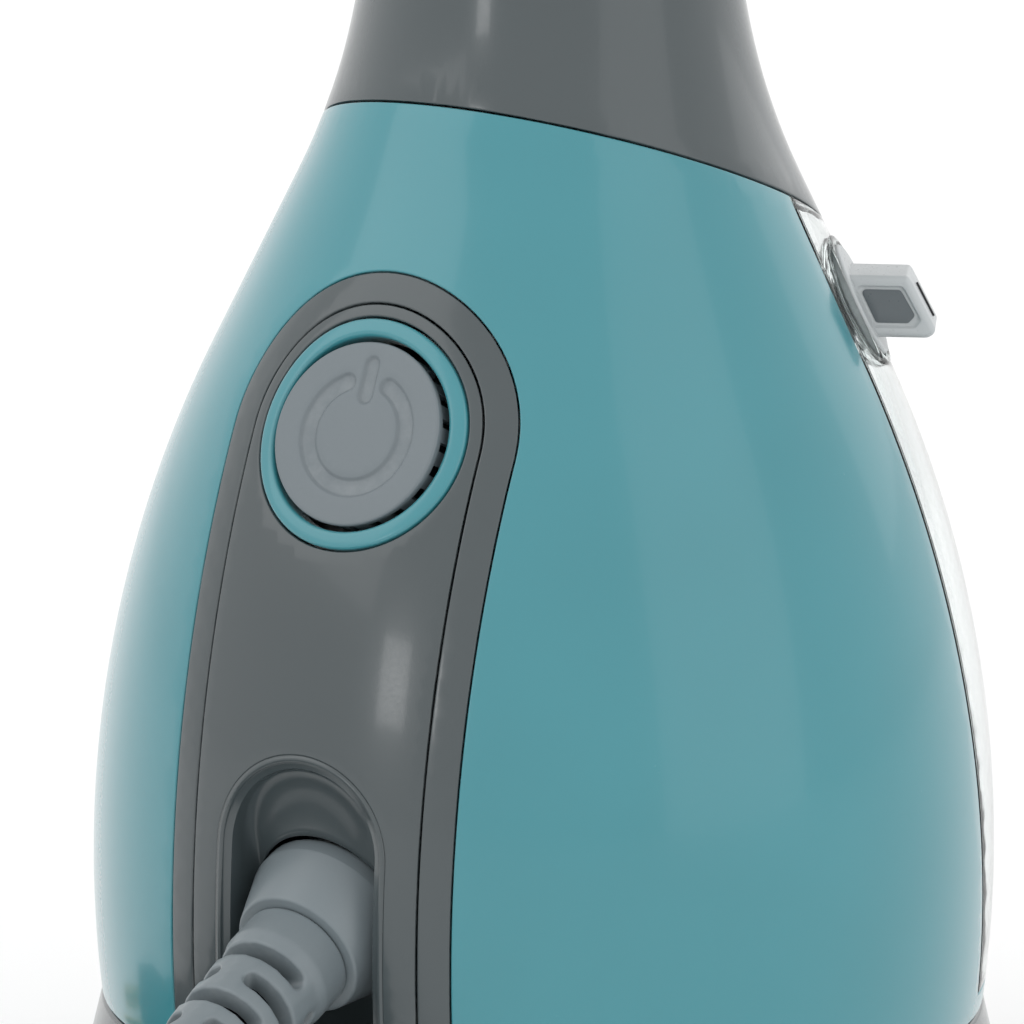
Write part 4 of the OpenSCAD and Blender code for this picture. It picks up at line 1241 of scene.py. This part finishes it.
def make_stopper_plug():
    """The plug that fills the port, with a flange over it and a groove for its seal."""
    section = rounded_section([(0.0, 0.7), (7.8, 0.7), (7.8, -0.8), (6.25, -0.8), (6.25, -3.5),
                               (5.5, -3.5), (5.5, -5.1), (6.25, -5.1), (6.25, -6.0),
                               (4.5, -6.0), (4.5, -2.0), (0.0, -2.0)],
                              [0, 0.5, 0.4, 0.1, 0.1, 0.2, 0.2, 0.1, 0.3, 0.3, 0.6, 0])
    turned("filler_stopper_plug", section, STOPPER, PORT, 72, body="filler_stopper",
           slot="button_plastic", nodes=["filler_stopper"])


def make_slit():
    """A black sheet on the pull tab's sloping end, shaped like a slit: painted shade in place of a
    cut.
    """
    low, top = np.array(tab_outline(0)[3:5])
    up = (top - low) / np.linalg.norm(top - low)
    middle = placed(TAB, [*((top + low) / 2), 0])
    end = frame_axes(middle, placed(TAB, [*((top + low) / 2 + up), 0]) - middle, -TAB[1][2])
    slit = rounded_section([(2.5, -0.35), (2.5, 0.35), (-2.5, 0.35), (-2.5, -0.35)], 0.3, 3)
    # Painted shade: a black sheet standing for the shade inside a slit
    thin_piece("filler_stopper_slit_shade", slit, 0.4, 0.05, 0.5, end, 0.06, -0.25, BLACK)


def make_port_rim():
    """The clear tank's raised rim round the filler port."""
    rim = rounded_section([(9.3, 0.35), (9.3, -1.6), (8.15, -1.6), (8.15, 0.35)],
                          [0.45, 0.2, 0.2, 0.4])
    turned("water_tank_port_rim", rim, CLEAR, PORT, 96)


# ---------- trigger, head and plate ----------

# Side view of the grip: X towards the plate, Y up, Z towards +X of the object
SIDE = frame_axes([0, 0, 0], [0, 1, 0], [0, 0, 1])


def make_trigger():
    """The trigger lever, seen from the side, round its pin."""
    y, z = TRIGGER_PIN
    lever = [(y - 3.4, z + 2.2), (y - 3.4, z - 2.4), (18.5, 243), (19.5, 232), (18.5, 223),
             (23.6, 223), (25.8, 230), (26.2, 240), (24.5, 248), (y + 3.4, z + 2.2)]
    outline = rounded_section(lever, [2.2, 1.5, 4, 6, 0.8, 1.4, 6, 10, 8, 2.4], 8)
    both_sides("trigger_lever", outline, 6.2, 1.1, BUTTON, SIDE, body="trigger",
               nodes=["trigger"])


def hull_of(points):
    """A convex piece round points in millimetres, not yet on a body."""
    shape = bmesh.new()
    for point in points:
        shape.verts.new(np.asarray(point) * MM)
    made = bmesh.ops.convex_hull(shape, input=shape.verts)
    loose = {v for v in made["geom_interior"] + made["geom_unused"]
             if isinstance(v, bmesh.types.BMVert)}
    bmesh.ops.delete(shape, geom=list(loose), context="VERTS")
    bmesh.ops.dissolve_limit(shape, angle_limit=math.radians(0.05), verts=shape.verts,
                             edges=shape.edges)
    bmesh.ops.recalc_face_normals(shape, faces=shape.faces)
    mesh = bpy.data.meshes.new("hull")
    shape.to_mesh(mesh)
    shape.free()
    return new_object("hull", mesh)


def ball(centre, radius, steps):
    """Points on a sphere, in rows from its foot to its top."""
    return [np.array(centre) + radius * np.array([cosd(tilt) * cosd(turn),
                                                  cosd(tilt) * sind(turn), sind(tilt)])
            for tilt in np.linspace(-90, 90, steps // 2 + 1)
            for turn in np.arange(steps) * 360 / steps]


def head_points(inset):
    """Points whose hull is the steam head: the grip's top, a round back and a flat front with
    round corners and a softened rim."""
    radius = NECK_R - 0.3 - inset
    points = [(radius * cosd(turn), radius * sind(turn), GRIP_TOP + SEAM + up)
              for turn in np.arange(0, 360, 4) for up in (0, 2)]
    points += ball((0, -1, HEAD_Z), HEAD_BACK - inset, 72)
    soft = 1.2
    for sx in (-1, 1):
        for sz in (-1, 1):
            middle = np.array([sx * (HEAD_HALF[0] - HEAD_CORNER), 0,
                               HEAD_Z + sz * (HEAD_HALF[1] - HEAD_CORNER)])
            for turn in np.arange(0, 360, 6):
                spoke = np.array([cosd(turn), 0, sind(turn)])
                for tilt in (0, 30, 60, 90):
                    rim = middle + (HEAD_CORNER - inset - soft + soft * cosd(tilt)) * spoke
                    rise = soft * sind(tilt)
                    points.append(rim + [0, HEAD_FRONT - soft + rise, 0])
                    points.append(rim + [0, HEAD_FRONT - HEAD_CORNER + inset + soft - rise, 0])
    return points


def cut(piece, tools):
    """Cuts convex tools out of a piece and keeps the result as its mesh."""
    for tool in tools:
        modifier = piece.modifiers.new("cut", "BOOLEAN")
        modifier.operation = "DIFFERENCE"
        modifier.solver = "EXACT"
        modifier.object = tool
    bpy.context.view_layer.update()
    result = bpy.data.meshes.new_from_object(
        piece.evaluated_get(bpy.context.evaluated_depsgraph_get()))
    piece.modifiers.clear()
    piece.data = result
    for tool in tools:
        bpy.data.objects.remove(tool)


def plate_outline(half, corner, step=2.0):
    """An upright rounded rectangle, anticlockwise, as X and height above the head's middle."""
    return thinned(rounded_section([(half[0], -half[1]), (half[0], half[1]),
                                    (-half[0], half[1]), (-half[0], -half[1])], corner, 12), step)


def upright_block(half, corner, low, high):
    """A convex block with round upright corners between two distances along Y."""
    outline = plate_outline(half, corner)
    return hull_of([(x, y, HEAD_Z + z) for x, z in outline for y in (low, high)])


def make_head():
    """The hollow steam head, open to the grip and at its front."""
    shell = hull_of(head_points(0))
    radius = NECK_R - 3.2
    neck = [(radius * cosd(turn), radius * sind(turn), height) for turn in range(0, 360, 5)
            for height in (GRIP_TOP - 2, GRIP_TOP + 6)]
    cut(shell, [hull_of(head_points(WALL)), hull_of(neck),
                upright_block(HEAD_HALF - WALL, 6, HEAD_FRONT - 6, HEAD_FRONT + 2)])
    shell.name = "head_shell_moulding"
    shell.data.materials.clear()
    shell.data.materials.append(SLATE)
    soften(shell.data, 32)
    dress(shell, "root", ["head_shell"])


def outward(flat, half, corner):
    """Unit steps out of a rounded rectangle at points on or near its edge."""
    past = np.maximum(np.abs(flat) - (half - corner), 0) * np.sign(flat)
    return past / np.maximum(np.linalg.norm(past, axis=1), 1e-6)[:, None]


def make_plate():
    """The push-on plate's tray: a drilled back, and a deep rim rolled at its edge."""
    corner, deep, bend, wall = 14.0, 12.0, 3.5, 2.5
    # Stations down the rim: how far in, how far back from the front, the skin's own direction
    # from outwards (0) to backwards (90), and its thickness
    stations = [(0.55, 0.0, 0, 1.4), (0.12, 0.35, 0, 2.25), (0.0, 0.8, 0, wall)]
    stations += [(0.0, deep * k / 4, 0, wall) for k in (1, 2)]
    stations += [(bend * (1 - cosd(t)), deep - bend * (1 - sind(t)), t, wall)
                 for t in range(0, 91, 15)]
    holes = [arc((ix * HOLES_ACROSS, iz * HOLES_UP), HOLE_R, 360, 0, 21)[:-1]
             for ix in range(-4, 5) for iz in range(-2, 3)]
    steps = [(reach, float(number)) for number, (reach, *_) in enumerate(stations)]
    flat, number, triangles = drilled(plate_outline(PLATE_HALF, corner, 2.5), holes, steps, 3.0)
    station = np.array(stations)[np.clip(number, 0, len(stations) - 1).astype(int)]
    back, tilt, thick = station[:, 1], station[:, 2], station[:, 3]
    out = outward(flat, PLATE_HALF, corner)
    y = PLATE_BACK + deep - back
    drop = thick * cosd(tilt)
    skin = beside(flat[:, 0], y, HEAD_Z + flat[:, 1])
    inner = beside(flat[:, 0] - out[:, 0] * drop, y + thick * sind(tilt),
                   HEAD_Z + flat[:, 1] - out[:, 1] * drop)
    closed_shell("wallpaper_plate_tray", skin, inner, triangles, np.zeros(len(flat)), CLEAR,
                 body="wallpaper_plate", nodes=["wallpaper_plate"])


def make_plate_collar():
    """The collar behind the plate, which grips the head."""
    section = rounded_section([(0.0, -9.0), (0.0, -0.02), (-2.65, -0.02), (-2.65, -9.0)],
                              [0.7, 0.3, 0.3, 0.5])
    half, corner = HEAD_HALF + 3, 10.0
    loop = plate_outline(half, corner, 2.5)
    out = outward(loop, half, corner)
    rows = []
    for reach, along in section:
        at = loop + out * reach
        rows.append(beside(at[:, 0], PLATE_BACK + along, HEAD_Z + at[:, 1]))
    add_piece("wallpaper_plate_collar", np.concatenate(rows),
              loft_faces(len(section), len(loop)), CLEAR, body="wallpaper_plate")


def drilled(outline, holes, steps, spacing):
    """A patch whose holes have plain edges at the last ring's depth."""
    last = steps[-1][1]
    marks = [([(hole[::-1], last)], last) for hole in holes]
    flat, number, triangles = patch([outline], steps, spacing, features=marks)
    middle = flat[triangles].mean(1)
    return flat, number, triangles[between(middle, outline, holes)]


# ---------- every piece ----------

make_rear_shell()
make_neck_shell()
make_tank()
make_tank_walls()
make_bezel()
make_inlay()
make_pocket()
make_ring()
make_button()
make_button_skirt()
make_barrel()
make_relief()
make_skirt()
make_tab()
make_stopper_plug()
make_slit()
make_port_rim()
make_lead([make_plug_body(), make_plug_tail(), make_plug_pin(-1, "near"),
           make_plug_pin(1, "far")])
make_trigger()
make_head()
make_plate()
make_plate_collar()

# The CAD's own pieces that show as they are, by the finish that they have
FINISHES = [
    (BASE, ["base_plate"]),
    (INNER, ["tank_bulkhead", "terminal_block", "steam_manifold"]),
    (SLATE, ["chassis"]),
    (BLACK, ["power_switch", "cord_clamp", "thermostat", "pump", "pipe_clip", "trigger_switch"]),
    (RUBBER, ["rubber_feet", "stopper_seal", "valve_seal", "pump_mounts", "nozzle_gasket"]),
    (SILICONE, ["suction_hose", "pressure_hose"]),
    (CAST, ["boiler", "nozzle_plate"]),
    (STEEL, ["base_screws", "tank_valve", "button_spring", "barrel_retainer", "chassis_screws",
             "thermal_fuse", "steam_pipe", "trigger_pin", "trigger_spring", "head_screws"]),
    (BRASS, ["heating_element"]),
    (BOARD, ["control_board"]),
]
for material, names in FINISHES:
    for name in names:
        finish_node(name, material)


# ---------- floor and light ----------


def make_stage():
    """A wide pale floor under the object."""
    size = 40.0
    floor = bpy.data.meshes.new("floor")
    floor.from_pydata([(-size, -size, 0), (size, -size, 0), (size, size, 0), (-size, size, 0)],
                      [], [(0, 1, 2, 3)])
    look = Look("pale_floor")
    look.feed(look.shader, Base_Color=(0.93, 0.93, 0.93, 1), Roughness=0.75)
    floor.materials.append(look.material)
    new_object("floor", floor)


def area_light(name, place, aim, size, power):
    """A rectangular lamp of that size in metres and power in watts, aimed at a point."""
    data = bpy.data.lights.new(name, "AREA")
    data.shape = "RECTANGLE"
    data.size, data.size_y = size
    data.energy = power
    lamp = new_object(name, data)
    lamp.location = place
    lamp.rotation_euler = (Vector(place) - Vector(aim)).to_track_quat("Z", "Y").to_euler()


def make_light():
    """A white studio with a key lamp, two softer ones and a small one for the front's gloss."""
    world = bpy.data.worlds.new("studio")
    bpy.context.scene.world = world
    world.use_nodes = True
    background = world.node_tree.nodes["Background"]
    background.inputs["Color"].default_value = (1, 1, 1, 1)
    background.inputs["Strength"].default_value = 1.0
    middle = (0, 0, 0.14)
    area_light("key", (-0.7, -0.9, 1.1), middle, (1.2, 1.4), 4)
    area_light("side", (1.3, -0.2, 0.5), middle, (1.0, 1.4), 2)
    area_light("back", (0.2, 1.3, 0.8), middle, (1.6, 1.2), 2.5)
    area_light("front", (-0.18, -1.31, 0.33), middle, (0.18, 0.20), 0.45)
    bpy.context.scene.view_settings.view_transform = "Standard"


make_stage()
make_light()
